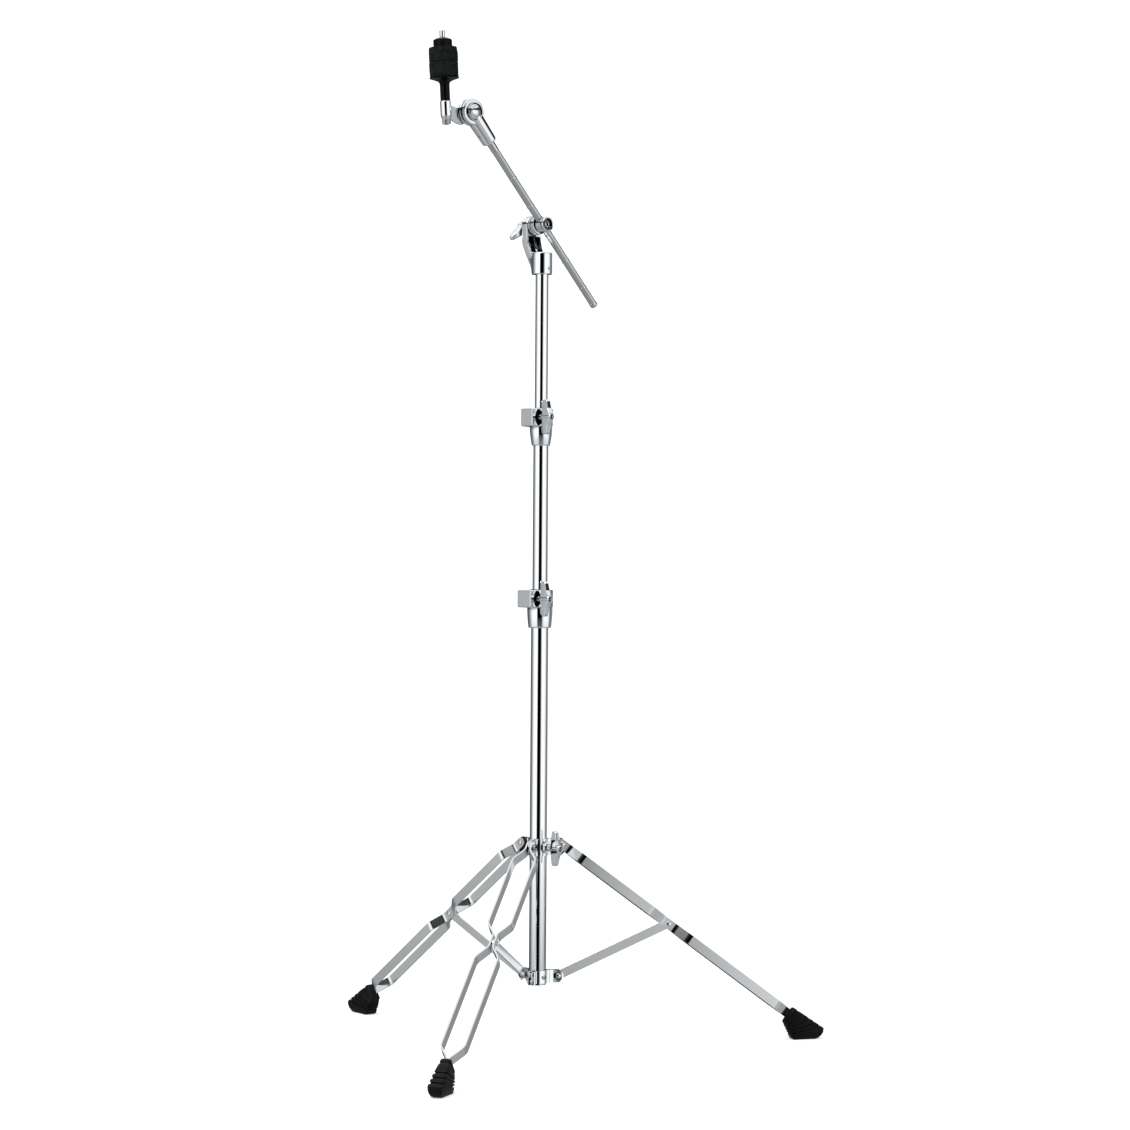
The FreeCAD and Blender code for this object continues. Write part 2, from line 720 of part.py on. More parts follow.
def wing_bolts():
    for name in ("lower", "upper"):
        high = (SIZES[f"{name}_clamp_lug_low"] + SIZES[f"{name}_clamp_top"]) / 2
        at = wing_side(high) * move(y=-SIZES[f"{name}_bolt_offset"])
        wing_bolt(f"{name}_clamp_wing_bolt", at, SIZES["wing_blade_in"], SIZES[f"{name}_wing_start"])
    collar_high = SIZES["collar_low"] + SIZES["collar_height"] / 2
    wing_bolt("leg_collar_wing_bolt", wing_side(collar_high),
              SIZES["base_tube_rad"] + SIZES["face_clear"],
              SIZES["collar_wing_start"] + SIZES["face_clear"])
    bolt_side = wing_side(SIZES["boom_pivot_high"], SIZES["clamp_yaw"] + 180)
    nut_at = bolt_side * turn(X_AXIS, SIZES["boom_wing_tilt"])
    boom_wing_nut(nut_at)


def boom_wing_nut(at):
    """The wing nut on the eye bolt, behind the bracket's arm."""
    start = SIZES["arm_head_out"] + SIZES["face_clear"]
    upper = [
        (f"{start} + dims.boom_wing_foot", "dims.wing_waist"),
        (f"{start} + dims.boom_wing_lead", "dims.boom_wing_half"),
        (f"{start} + dims.boom_wing_tail", "dims.boom_wing_half"),
        (f"{start} + dims.boom_wing_end", "dims.wing_waist"),
    ]
    lower = [(out, f"-{reach}") for out, reach in reversed(upper)]
    blades = slab("XZ_Plane", upper + lower, "dims.wing_thick")
    hub = rod("dims.boom_wing_hub_rad", "dims.wing_hub", along(X_AXIS, x=start))
    bore = rod("dims.eye_bolt_hole_rad", "dims.boom_wing_bore", along(X_AXIS, x=start))
    finish(cut(fuse(hub, blades), bore), "boom_wing_nut", at)


def boom_bracket():
    """A sleeve on the top tube with one curved arm beside the boom's bolt."""
    sleeve = rod("dims.bracket_rad", "dims.bracket_top - dims.bracket_low",
                 move(z=SIZES["bracket_low"]))
    arm_side = slab("XZ_Plane", [
        ("-dims.arm_foot_in", "dims.bracket_low"),
        ("-dims.arm_foot_out", "dims.bracket_low"),
        ("-dims.arm_bend_out", "dims.arm_bend"),
        ("-dims.arm_neck_out", "dims.arm_neck"),
        ("-dims.arm_head_out", "dims.boom_pivot_high - dims.arm_head_low"),
        ("-dims.arm_head_out", "dims.boom_pivot_high + dims.arm_head_rad"),
        ("-dims.arm_head_in", "dims.boom_pivot_high + dims.arm_head_rad"),
        ("-dims.arm_head_in", "dims.boom_pivot_high - dims.arm_head_rad"),
        ("-dims.arm_neck_in", "dims.arm_neck"),
        ("-dims.arm_foot_in", "dims.arm_bend"),
    ], "2 * dims.arm_half")
    arm_front = slab("YZ_Plane", [
        ("-dims.arm_half", "dims.bracket_low"),
        ("dims.arm_half", "dims.bracket_low"),
        ("dims.arm_half", "dims.boom_pivot_high"),
        ("-dims.arm_half", "dims.boom_pivot_high"),
    ], "4 * dims.arm_head_out")
    head = rod("dims.arm_half", "2 * dims.arm_head_out",
               along(X_AXIS, x=-2 * SIZES["arm_head_out"], z=SIZES["boom_pivot_high"]))
    arm = common(arm_side, fuse(arm_front, head))
    tube_bore = rod("dims.upper_tube_rad", "dims.upper_tube_top - dims.bracket_low",
                    move(z=SIZES["bracket_low"]))
    bolt_hole = rod("dims.eye_bolt_hole_rad", "2 * dims.arm_head_out",
                    along(X_AXIS, x=-2 * SIZES["arm_head_out"], z=SIZES["boom_pivot_high"]))
    hollows = []
    hollow_low = SIZES["bracket_top"] + SIZES["arm_hollow_edge"]
    hollow_top = SIZES["boom_pivot_high"] - SIZES["arm_head_rad"] - SIZES["arm_hollow_edge"]
    for side in (1, -1):
        hollow = primitive("Box", Length="dims.arm_neck_in", Width="dims.arm_hollow_half - dims.arm_rib_half",
                           Height=hollow_top - hollow_low)
        hollow.setExpression("Placement.Base.x", "-dims.arm_neck_in - dims.arm_hollow_deep")
        hollow.setExpression("Placement.Base.y",
                             "dims.arm_rib_half" if side > 0 else "-dims.arm_hollow_half")
        hollow.setExpression("Placement.Base.z", str(hollow_low))
        hollows.append(hollow)
    pin_high = SIZES["bracket_low"] + SIZES["bracket_pin_up"]
    pin_hole = rod("dims.pin_rad", "2 * dims.bracket_rad", along(X_AXIS, z=pin_high))
    finish(cut(fuse(sleeve, arm), tube_bore, bolt_hole, pin_hole, *hollows), "boom_bracket", CLAMP_SIDE)
    pin = rod("dims.pin_rad", "dims.bracket_rad - dims.upper_tube_rad - dims.pin_sunk",
              along(X_AXIS, x=SIZES["upper_tube_rad"], z=pin_high))
    finish(pin, "boom_bracket_pin", CLAMP_SIDE * pin.Placement)
    disc = rod("dims.disc_rad", "dims.arm_head_in - dims.disc_in",
               along(X_AXIS, x=-SIZES["arm_head_in"], z=SIZES["boom_pivot_high"]))
    disc_hole = rod("dims.eye_bolt_hole_rad", "2 * dims.arm_head_in",
                    along(X_AXIS, x=-2 * SIZES["arm_head_in"], z=SIZES["boom_pivot_high"]))
    finish(cut(disc, disc_hole), "boom_tilt_disc", CLAMP_SIDE)


# the boom's own axes: X along the bracket's bolt, Z along the rod
BOOM = CLAMP_SIDE * move(z=SIZES["boom_pivot_high"]) * turn(X_AXIS, SIZES["boom_lean"])


def rod_clamp():
    """The seat and the eye bolt that hold the boom rod between them."""
    seat = rod("dims.seat_rad", "dims.seat_out - dims.seat_in", along(X_AXIS, x=-SIZES["seat_out"]))
    neck_room = rod("dims.eye_neck_rad", "dims.eye_neck_out", along(X_AXIS, x=-SIZES["eye_neck_out"]))
    bolt_hole = rod("dims.eye_bolt_rad", "2 * dims.seat_out", along(X_AXIS, x=-2 * SIZES["seat_out"]))
    seat_groove = rod("dims.boom_hole_rad", CUT_LONG, move(z=-CUT_LONG / 2))
    finish(cut(seat, neck_room, seat_groove, bolt_hole), "boom_rod_seat", BOOM)
    head = rod("dims.eye_head_rad", "dims.eye_head_out + dims.eye_head_in",
               along(X_AXIS, x=-SIZES["eye_head_in"]))
    neck = rod("dims.eye_neck_rad", "dims.eye_neck_out", along(X_AXIS, x=-SIZES["eye_neck_out"]))
    shank_end = SIZES["arm_head_out"] + SIZES["boom_wing_bore"] - SIZES["face_clear"]
    shank = rod("dims.eye_bolt_rad", shank_end, along(X_AXIS, x=-shank_end))
    eye_hole = rod("dims.boom_hole_rad", CUT_LONG, move(z=-CUT_LONG / 2))
    finish(cut(fuse(head, neck, shank), eye_hole), "boom_eye_bolt", BOOM)


def boom_rod():
    item = rod("dims.boom_rad", "dims.boom_top - dims.boom_low - dims.boom_cap",
               move(z=SIZES["boom_low"] + SIZES["boom_cap"]))
    finish(item, "boom_rod", BOOM * item.Placement)
    cap = turned([
        ("0", "dims.boom_low"),
        ("dims.boom_cap_rad", "dims.boom_low"),
        ("dims.boom_rad", "dims.boom_low + dims.boom_cap_edge"),
        ("dims.boom_rad", "dims.boom_low + dims.boom_cap"),
        ("0", "dims.boom_low + dims.boom_cap"),
    ])
    finish(cap, "boom_end_cap", BOOM)


# the tilter's pivot, with the boom's axes, and the same point with the mast's axes
TILTER_BASE = BOOM * move(z=SIZES["tilter_dist"])
TILTER_HEAD = TILTER_BASE * turn(X_AXIS, -SIZES["boom_lean"])


def tilter_base():
    """The socket on the boom rod with one disc of the cymbal tilter."""
    socket = primitive("Cone", Radius1="dims.socket_far_rad", Radius2="dims.socket_near_rad",
                       Height="dims.socket_end - dims.socket_start")
    socket.setExpression("Placement.Base.z", "-dims.socket_end")
    face = SIZES["tilter_split"] + SIZES["tilter_gap"] / 2
    room = rod("dims.tilter_disc_rad + dims.tilter_gap", CUT_LONG,
               along(X_AXIS * -1, x=face))
    disc = rod("dims.tilter_disc_rad", SIZES["tilter_base_in"] - face, along(X_AXIS, x=face))
    boss = rod("dims.tilter_boss_rad", "dims.tilter_boss - dims.tilter_base_in",
               along(X_AXIS, x=SIZES["tilter_base_in"]))
    bolt_hole = rod("dims.tilter_bolt_hole_rad", CUT_LONG, along(X_AXIS, x=-CUT_LONG / 2))
    rod_bore = rod("dims.boom_hole_rad", CUT_LONG)
    rod_bore.setExpression("Placement.Base.z", f"dims.boom_top - dims.tilter_dist - {CUT_LONG}")
    pin_high = SIZES["socket_pin_up"] - SIZES["socket_end"]
    pin_hole = rod("dims.small_pin_rad", "2 * dims.socket_near_rad", along(Y_AXIS * -1, z=pin_high))
    item = cut(fuse(cut(socket, room), disc, boss), bolt_hole, rod_bore, pin_hole)
    finish(item, "tilter_socket", TILTER_BASE)
    pin = rod("dims.small_pin_rad", "dims.socket_far_rad - dims.boom_hole_rad - dims.pin_sunk",
              along(Y_AXIS * -1, y=-SIZES["boom_hole_rad"], z=pin_high))
    finish(pin, "tilter_socket_pin", TILTER_BASE * pin.Placement)


def tilter_head():
    """The disc, web and barrel that carry the cymbal rod, and the pivot bolt."""
    face = SIZES["tilter_split"] - SIZES["tilter_gap"] / 2
    disc = rod("dims.tilter_disc_rad", SIZES["tilter_head_out"] + face,
               along(X_AXIS, x=-SIZES["tilter_head_out"]))
    web = primitive("Box", Length="dims.web_out", Width="dims.holder_reach", Height="2 * dims.web_half")
    web.setExpression("Placement.Base.x", "-dims.web_out")
    web.setExpression("Placement.Base.y", "-dims.holder_reach")
    web.setExpression("Placement.Base.z", "-dims.web_half")
    barrel = rod("dims.holder_rad", "dims.holder_low + dims.holder_top",
                 HOLDER * move(z=-SIZES["holder_low"]))
    bolt_hole = rod("dims.tilter_bolt_rad", CUT_LONG, along(X_AXIS, x=-CUT_LONG / 2))
    rod_hole = rod("dims.cymbal_rod_rad", CUT_LONG, HOLDER * move(z=-CUT_LONG / 2))
    finish(cut(fuse(disc, web, barrel), bolt_hole, rod_hole), "tilter_holder", TILTER_HEAD)
    shank = rod("dims.tilter_bolt_rad", "dims.tilter_boss + dims.tilter_gap + dims.web_out",
                along(X_AXIS, x=-SIZES["web_out"]))
    inner_head = rod("dims.tilter_bolt_head_rad", "dims.tilter_bolt_head",
                     along(X_AXIS * -1, x=-SIZES["web_out"]))
    outer_head = rod("dims.tilter_bolt_head_rad", "dims.tilter_bolt_cap",
                     along(X_AXIS, x=SIZES["tilter_boss"] + SIZES["tilter_gap"]))
    finish(fuse(shank, inner_head, outer_head), "tilter_bolt", TILTER_HEAD)


# the cymbal rod's axis inside the tilter's holder
HOLDER = (move(x=-SIZES["holder_side"], y=-SIZES["holder_reach"])
          * turn(X_AXIS, SIZES["cymbal_lean"]))
CYMBAL = TILTER_HEAD * HOLDER


def cymbal_parts():
    post = turned([
        ("0", "dims.cymbal_rod_low"),
        ("dims.cymbal_rod_rad", "dims.cymbal_rod_low"),
        ("dims.cymbal_rod_rad", "dims.cymbal_rod_neck"),
        ("dims.cymbal_rod_neck_rad", "dims.cymbal_rod_neck"),
        ("dims.cymbal_rod_neck_rad", "dims.cymbal_rod_tip"),
        ("dims.cymbal_rod_rad", "dims.cymbal_rod_tip"),
        ("dims.cymbal_rod_rad", "dims.cymbal_rod_top"),
        ("0", "dims.cymbal_rod_top"),
    ])
    finish(post, "cymbal_rod", CYMBAL)
    nut = primitive("Prism", move(z=-SIZES["holder_low"] - SIZES["rod_nut"]),
                    Circumradius="dims.rod_nut_rad", Height="dims.rod_nut")
    nut_bore = rod("dims.cymbal_rod_rad", CUT_LONG, move(z=-CUT_LONG))
    finish(cut(nut, nut_bore), "cymbal_rod_nut", CYMBAL)
    seat = turned([
        ("dims.cymbal_rod_rad", "dims.holder_top"),
        ("dims.seat_stem_rad", "dims.holder_top"),
        ("dims.seat_stem_rad", "dims.seat_stem_top - dims.seat_flare_high"),
        ("dims.seat_stem_rad + dims.seat_flare", "dims.seat_stem_top"),
        ("dims.seat_cup_rad", "dims.seat_cup_low"),
        ("dims.seat_cup_rad", "dims.seat_cup_top"),
        ("dims.seat_sleeve_rad", "dims.seat_cup_top"),
        ("dims.seat_sleeve_rad", "dims.seat_sleeve_top"),
        ("dims.cymbal_rod_rad", "dims.seat_sleeve_top"),
    ])
    finish(seat, "cymbal_seat", CYMBAL)
    felt_parts = (("lower", "dims.seat_cup_top", "dims.lower_felt_top"),
                  ("upper", "dims.lower_felt_top + dims.face_clear", "dims.upper_felt_top"))
    for name, low, top in felt_parts:
        felt = tube("dims.felt_rad", "dims.felt_bore_rad", low, top)
        finish(felt, f"{name}_felt", CYMBAL)
    top_nut = turned([
        ("dims.cymbal_rod_rad + dims.shaft_clear", "dims.cymbal_nut_low"),
        ("dims.cymbal_nut_rad", "dims.cymbal_nut_low"),
        ("dims.cymbal_nut_rad", "dims.cymbal_nut_mid"),
        ("dims.cymbal_nut_top_rad", "dims.cymbal_nut_top"),
        ("dims.cymbal_rod_rad + dims.shaft_clear", "dims.cymbal_nut_top"),
    ])
    finish(top_nut, "cymbal_nut", CYMBAL)


def check_document():
    """Stop if any object of the document is broken or any finished shape is not sound."""
    doc.recompute()
    for item in doc.Objects:
        if "Invalid" in item.State or "Error" in item.State:
            raise RuntimeError(f"{item.Name} ({item.Label}) is {item.State}")
    for item in finished:
        if item.Shape.isNull() or not item.Shape.isValid():
            raise RuntimeError(f"{item.Label} has no sound shape")


mast_tubes()
brace_hub()
leg_collar()
for leg_number, leg_angle in enumerate(LEG_ANGLES, start=1):
    leg(leg_number, leg_angle)
    brace(leg_number, leg_angle)
height_clamp("lower", "base")
bushing("lower", "base", "middle")
height_clamp("upper", "middle")
bushing("upper", "middle", "upper")
wing_bolts()
boom_bracket()
rod_clamp()
boom_rod()
tilter_base()
tilter_head()
cymbal_parts()
check_document()

os.makedirs("parts", exist_ok=True)
for part in finished:
    part.Shape.exportStep(f"parts/{part.Label}.step")
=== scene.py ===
import json
from math import atan2, ceil, cos, pi, radians, sin, sqrt, tan

import bmesh
import bpy
from mathutils import Matrix, Vector, noise


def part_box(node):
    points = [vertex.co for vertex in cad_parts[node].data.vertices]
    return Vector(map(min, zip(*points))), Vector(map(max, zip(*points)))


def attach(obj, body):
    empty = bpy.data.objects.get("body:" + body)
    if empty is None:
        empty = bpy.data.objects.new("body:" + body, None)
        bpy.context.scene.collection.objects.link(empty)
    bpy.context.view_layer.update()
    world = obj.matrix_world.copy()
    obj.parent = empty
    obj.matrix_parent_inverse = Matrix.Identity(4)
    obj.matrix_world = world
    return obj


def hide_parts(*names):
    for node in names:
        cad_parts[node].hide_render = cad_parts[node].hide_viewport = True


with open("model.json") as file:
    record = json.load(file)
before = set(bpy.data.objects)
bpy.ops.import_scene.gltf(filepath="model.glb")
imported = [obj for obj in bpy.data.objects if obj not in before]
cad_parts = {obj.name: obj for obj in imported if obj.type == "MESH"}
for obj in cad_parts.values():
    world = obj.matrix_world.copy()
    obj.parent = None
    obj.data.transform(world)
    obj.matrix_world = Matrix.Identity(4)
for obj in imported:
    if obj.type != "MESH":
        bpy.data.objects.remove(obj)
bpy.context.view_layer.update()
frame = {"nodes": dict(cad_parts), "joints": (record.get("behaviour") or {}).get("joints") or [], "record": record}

MM = 0.001
AXIS_RAD = 0.02 * MM
TAU = 2 * pi
UP = Vector((0, 0, 1))
WHITE = (1, 1, 1)
JOINTS = {joint["name"]: joint for joint in frame["joints"]}
BODY_OF = {node: body for body, nodes in frame["record"]["behaviour"]["bodies"].items() for node in nodes}
SLOT_OF = {row["node"]: row["material_slot"] for row in frame["record"]["subparts"]}
scene = bpy.context.scene


# ---- places

def centre(node):
    low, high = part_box(node)
    return (Vector(low) + Vector(high)) / 2


def bottom(node):
    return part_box(node)[0][2]


def top(node):
    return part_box(node)[1][2]


def half_wide(node):
    """Half an object's size along X: the radius of an upright tube."""
    low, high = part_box(node)
    return (high[0] - low[0]) / 2


def joint_place(name):
    return Vector(JOINTS[name]["pos_m"])


def joint_axis(name):
    return Vector(JOINTS[name]["axis"]).normalized()


def axes(origin, across, up):
    """A matrix at origin whose Z lies along up and whose X lies as near as it can to across."""
    z = Vector(up).normalized()
    x = Vector(across)
    x = (x - z * x.dot(z)).normalized()
    y = z.cross(x)
    return Matrix.Translation(Vector(origin)) @ Matrix((x, y, z)).transposed().to_4x4()


def joint_axes(name):
    return axes(joint_place(name), joint_axis(name), UP)


def shift(x, y, z):
    return Matrix.Translation((x, y, z))


MAST = centre("middle_tube")
MAST.z = 0
BOLT_WAY = joint_axis("boom_tilt")
LUG_WAY = BOLT_WAY.cross(UP)
BOOM_PIVOT = joint_place("boom_tilt")
BOOM_WAY = joint_axis("boom_slide")
TILTER = joint_place("cymbal_tilt")
CYMBAL_WAY = joint_axis("felt_lift")
BARREL_ALONG_BOLT = -4.5 * MM
BARREL_OUT = 43 * MM
MAST_PLACE = Matrix.Translation(MAST)
CLAMP_PLACE = axes(MAST, BOLT_WAY, UP)
BOOM_PLACE = axes(BOOM_PIVOT, BOLT_WAY, BOOM_WAY)
TILTER_PLACE = axes(TILTER, BOLT_WAY, BOOM_WAY)
HEAD_PLACE = axes(TILTER, BOLT_WAY, UP)
CYMBAL_PLACE = axes(TILTER + BOLT_WAY * BARREL_ALONG_BOLT + LUG_WAY * BARREL_OUT, BOLT_WAY, CYMBAL_WAY)


# ---- materials

def grey(value):
    return (value, value, value)


def darker(tint, share):
    return tuple(channel * share for channel in tint)


def set_inputs(node, inputs):
    for socket, value in inputs.items():
        node.inputs[socket.replace("_", " ")].default_value = value


def add(tree, kind, **inputs):
    """A new shader node, with the values of its inputs."""
    node = tree.nodes.new(f"ShaderNode{kind}")
    set_inputs(node, inputs)
    return node


def ramp(tree, source, start, low, end, high):
    """Turn a value into a colour: low up to start, high from end, and a blend in between."""
    node = add(tree, "ValToRGB")
    for element, position, colour in zip(node.color_ramp.elements, (start, end), (low, high)):
        element.position = position
        element.color = (*colour, 1)
    tree.links.new(source, node.inputs["Fac"])
    return node.outputs["Color"]


def feed(made, socket, source):
    tree = made.node_tree
    tree.links.new(source, tree.nodes["Principled BSDF"].inputs[socket])


def material(name, base, metallic=0.0, roughness=0.3, **fixed):
    """A Principled material; every fixed value goes straight onto the shader's own socket."""
    made = bpy.data.materials.new(name)
    made.use_nodes = True
    shader = made.node_tree.nodes["Principled BSDF"]
    set_inputs(shader, {"Base Color": (*base, 1), "Metallic": metallic, "Roughness": roughness, **fixed})
    return made


def noise_value(made, scale, detail, rough=0.5):
    """Noise in the object's own space."""
    tree = made.node_tree
    texture = add(tree, "TexNoise", Scale=scale, Detail=detail, Roughness=rough)
    tree.links.new(add(tree, "TexCoord").outputs["Object"], texture.inputs["Vector"])
    return texture.outputs["Fac"]


def vary(made, socket, low, high, *texture):
    """Spread a colour, or a grey value, between low and high with noise."""
    low, high = (tone if isinstance(tone, tuple) else grey(tone) for tone in (low, high))
    feed(made, socket, ramp(made.node_tree, noise_value(made, *texture), 0.3, low, 0.7, high))


def bump(made, strength, distance, *texture):
    tree = made.node_tree
    node = add(tree, "Bump", Strength=strength, Distance=distance)
    tree.links.new(noise_value(made, *texture), node.inputs["Height"])
    feed(made, "Normal", node.outputs["Normal"])


def metal(name, tint, rough_low, rough_high, scale=14):
    """A mirror with faint haze that comes and goes."""
    made = material(name, tint, metallic=1.0, roughness=rough_low)
    vary(made, "Roughness", rough_low, rough_high, scale, 2)
    return made


def cast_chrome(name, tint, rough_low, rough_high, shade_reach, ripple=0.0):
    """Chrome on a casting: slightly rippled, with painted shade that makes it dark where the surface is closed in,
    in hollows, creases and gaps between parts.
    """
    made = metal(name, tint, rough_low, rough_high)
    if ripple:
        bump(made, ripple, 0.4 * MM, 90, 1)
    tree = made.node_tree
    # painted shade: ambient occlusion darkens the base colour from the tint to near black brown in hollows and
    # gaps
    painted_shade = add(tree, "AmbientOcclusion", Distance=shade_reach)
    feed(made, "Base Color", ramp(tree, painted_shade.outputs["AO"], 0.42, (0.016, 0.013, 0.011), 0.80, tint))
    return made


def tube_chrome(name, tint):
    """Bright tube chrome with painted shade: its colour greys towards the floor."""
    made = metal(name, tint, 0.02, 0.05)
    tree = made.node_tree
    # painted shade: the base colour is half the tint below 0.10 m and blends up to the full tint at 0.32 m
    split = add(tree, "SeparateXYZ")
    tree.links.new(add(tree, "TexCoord").outputs["Object"], split.inputs["Vector"])
    height = add(tree, "MapRange", From_Min=0.10, From_Max=0.32)
    tree.links.new(split.outputs["Z"], height.inputs["Value"])
    feed(made, "Base Color", ramp(tree, height.outputs["Result"], 0, darker(tint, 0.5), 1, tint))
    return made


def strap_chrome(name, tint):
    made = metal(name, tint, 0.07, 0.13)
    vary(made, "Base Color", darker(tint, 0.95), tint, 9, 2)
    return made


def brushed_steel(name, tint):
    made = metal(name, tint, 0.06, 0.10, scale=30)
    vary(made, "Base Color", darker(tint, 0.92), tint, 12, 2)
    return made


def felt_material():
    made = material("black_felt", (0.005, 0.006, 0.0055), roughness=1.0, Specular_IOR_Level=0.15)
    fibres = (190, 6, 0.75)
    vary(made, "Base Color", (0.0004, 0.0006, 0.0005), (0.013, 0.019, 0.015), *fibres)
    bump(made, 0.8, 0.6 * MM, *fibres)
    return made


def plastic_material():
    made = material("black_plastic", grey(0.002), roughness=0.06, Specular_IOR_Level=0.09)
    vary(made, "Roughness", 0.05, 0.09, 120, 3)
    vary(made, "Base Color", 0.0015, 0.003, 60, 2)
    return made


def rubber_material():
    made = material("foot_rubber", grey(0.012), roughness=0.4, Specular_IOR_Level=0.14)
    vary(made, "Roughness", 0.28, 0.42, 50, 4)
    vary(made, "Base Color", (0.0015, 0.0015, 0.0016), (0.004, 0.0042, 0.0044), 30, 4)
    bump(made, 0.12, 0.15 * MM, 700, 3)
    return made


def nylon_material():
    made = material("bushing_nylon", grey(0.012), roughness=0.4)
    vary(made, "Roughness", 0.35, 0.5, 200, 3)
    vary(made, "Base Color", 0.008, 0.014, 80, 3)
    return made


# how far the painted shade in the chrome castings reaches to find surfaces that close them in
PAINTED_SHADE_REACH = 11 * MM
MATERIALS = {
    "chrome_tube": tube_chrome("tube_chrome", (0.86, 0.89, 0.91)),
    "cast_chrome": cast_chrome("cast_chrome", (0.82, 0.86, 0.89), 0.03, 0.07, PAINTED_SHADE_REACH, ripple=0.10),
    "stamped_steel": cast_chrome("plate_chrome", (0.80, 0.83, 0.85), 0.05, 0.10, PAINTED_SHADE_REACH, ripple=0.05),
    "leg_strap": strap_chrome("strap_chrome", (0.84, 0.87, 0.885)),
    "fastener": cast_chrome("fastener_chrome", (0.80, 0.82, 0.83), 0.05, 0.12, PAINTED_SHADE_REACH / 2),
    "wing_casting": cast_chrome("wing_chrome", (0.80, 0.84, 0.87), 0.05, 0.11, PAINTED_SHADE_REACH / 2, ripple=0.15),
    "boom_rod_steel": brushed_steel("boom_steel", (0.60, 0.63, 0.64)),
    "black_plastic": plastic_material(),
    "bushing_plastic": nylon_material(),
    "felt": felt_material(),
    "foot_rubber": rubber_material(),
}


def dress(obj, slot_name):
    obj.data.materials.clear()
    obj.data.materials.append(MATERIALS[slot_name])


# ---- mesh tools

SHARP_ANGLE = radians(35)
BEVEL_ANGLE = radians(32)


def mm(*points, base=0.0):
    """(x, y) points given in millimetres, with y counted from base."""
    return [(x * MM, base + y * MM) for x, y in points]


def link(name, mesh):
    obj = bpy.data.objects.new(name, mesh)
    scene.collection.objects.link(obj)
    return obj


def piece(name, mesh, place, *nodes, rounding=0.0):
    """A finished piece in place of CAD nodes: it rides their body and takes their material slot."""
    obj = link(name, mesh)
    mesh.transform(place)
    for face in mesh.polygons:
        face.use_smooth = True
    dress(obj, SLOT_OF[nodes[0]])
    if rounding:
        soften(obj, rounding)
    else:
        mesh.set_sharp_from_angle(angle=SHARP_ANGLE)
        flat = obj.modifiers.new("flat", "WEIGHTED_NORMAL")
        flat.keep_sharp = True
    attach(obj, BODY_OF[nodes[0]])
    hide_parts(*nodes)
    return obj


def soften(obj, width, steps=2):
    bevel = obj.modifiers.new("soften", "BEVEL")
    bevel.width = width
    bevel.segments = steps
    bevel.limit_method = "ANGLE"
    bevel.angle_limit = BEVEL_ANGLE
    bevel.harden_normals = True


def close(bm):
    bmesh.ops.remove_doubles(bm, verts=bm.verts, dist=1e-7)
    bmesh.ops.recalc_face_normals(bm, faces=bm.faces)
    mesh = bpy.data.meshes.new("piece")
    bm.to_mesh(mesh)
    bm.free()
    return mesh


def skin(bm, rings, closed=False):
    """Faces between a row of equal rings of vertices, which closes on itself or has its ends capped."""
    pairs = list(zip(rings, rings[1:]))
    if closed:
        pairs.append((rings[-1], rings[0]))
    else:
        bm.faces.new(rings[0])
        bm.faces.new(rings[-1])
    for low, high in pairs:
        for step in range(len(low)):
            after = (step + 1) % len(low)
            bm.faces.new((low[step], low[after], high[after], high[step]))
    return close(bm)


def loft(rings, closed=False):
    """Skin a row of equal rings of points."""
    bm = bmesh.new()
    return skin(bm, [[bm.verts.new(point) for point in ring] for ring in rings], closed)


def lathe(profile, around=72, shape=None):
    """Turn (radius, height) points about Z. shape(angle, radius, height) may change the radius."""
    closed = profile[0] == profile[-1]
    rings = []
    for radius, height in profile[:-1] if closed else profile:
        radius = max(radius, AXIS_RAD)
        ring = []
        for step in range(around):
            angle = TAU * step / around
            reach = shape(angle, radius, height) if shape else radius
            ring.append((reach * cos(angle), reach * sin(angle), height))
        rings.append(ring)
    return loft(rings, closed)


def cylinder(radius, low, high, around=48):
    return lathe([(radius, low), (radius, high)], around)


def extrude(outline, low, high):
    """A prism: an outline in X and Y, raised from low to high along Z."""
    return loft([[(x, y, height) for x, y in outline] for height in (low, high)])


def merged(meshes):
    """Separate solids kept in one mesh."""
    bm = bmesh.new()
    for mesh in meshes:
        bm.from_mesh(mesh)
    return close(bm)


def quarter(steps):
    """The sine and cosine at equal steps from 0 to a quarter turn."""
    angles = [TAU / 4 * step / steps for step in range(steps + 1)]
    return [(sin(angle), cos(angle)) for angle in angles]


def lower_rim(radius, low, edge, steps=4):
    """Profile points that round off a rim's lower corner, from inside to outside."""
    return [(radius - edge * (1 - sine), low + edge * (1 - cosine)) for sine, cosine in quarter(steps)]


def upper_rim(radius, high, edge, steps=4):
    """Profile points that round off a rim's upper corner, from outside to inside."""
    return [(radius - edge * (1 - cosine), high - edge * (1 - sine)) for sine, cosine in quarter(steps)]


def arc(radius, count, start, sweep):
    angles = [start + sweep * step / count for step in range(count + 1)]
    return [(radius * cos(angle), radius * sin(angle)) for angle in angles]


def corner_arc(before, here, after, radius, steps):
    """Points that turn the corner at here into a curve."""
    here = Vector(here)
    back, on = Vector(before) - here, Vector(after) - here
    reach = min(radius * tan((pi - back.angle(on)) / 2), back.length * 0.49, on.length * 0.49)
    start, end = here + back.normalized() * reach, here + on.normalized() * reach
    points = []
    for step in range(steps + 1):
        share = step / steps
        point = start * (1 - share) ** 2 + here * 2 * share * (1 - share) + end * share ** 2
        points.append((point.x, point.y))
    return points


def rounded_corners(points, radius, steps, closed=True):
    """The same outline with every corner turned into a curve."""
    result = []
    count = len(points)
    for index, here in enumerate(points):
        if not closed and index in (0, count - 1):
            result.append(tuple(here))
        else:
            result += corner_arc(points[index - 1], here, points[(index + 1) % count], radius, steps)
    return result


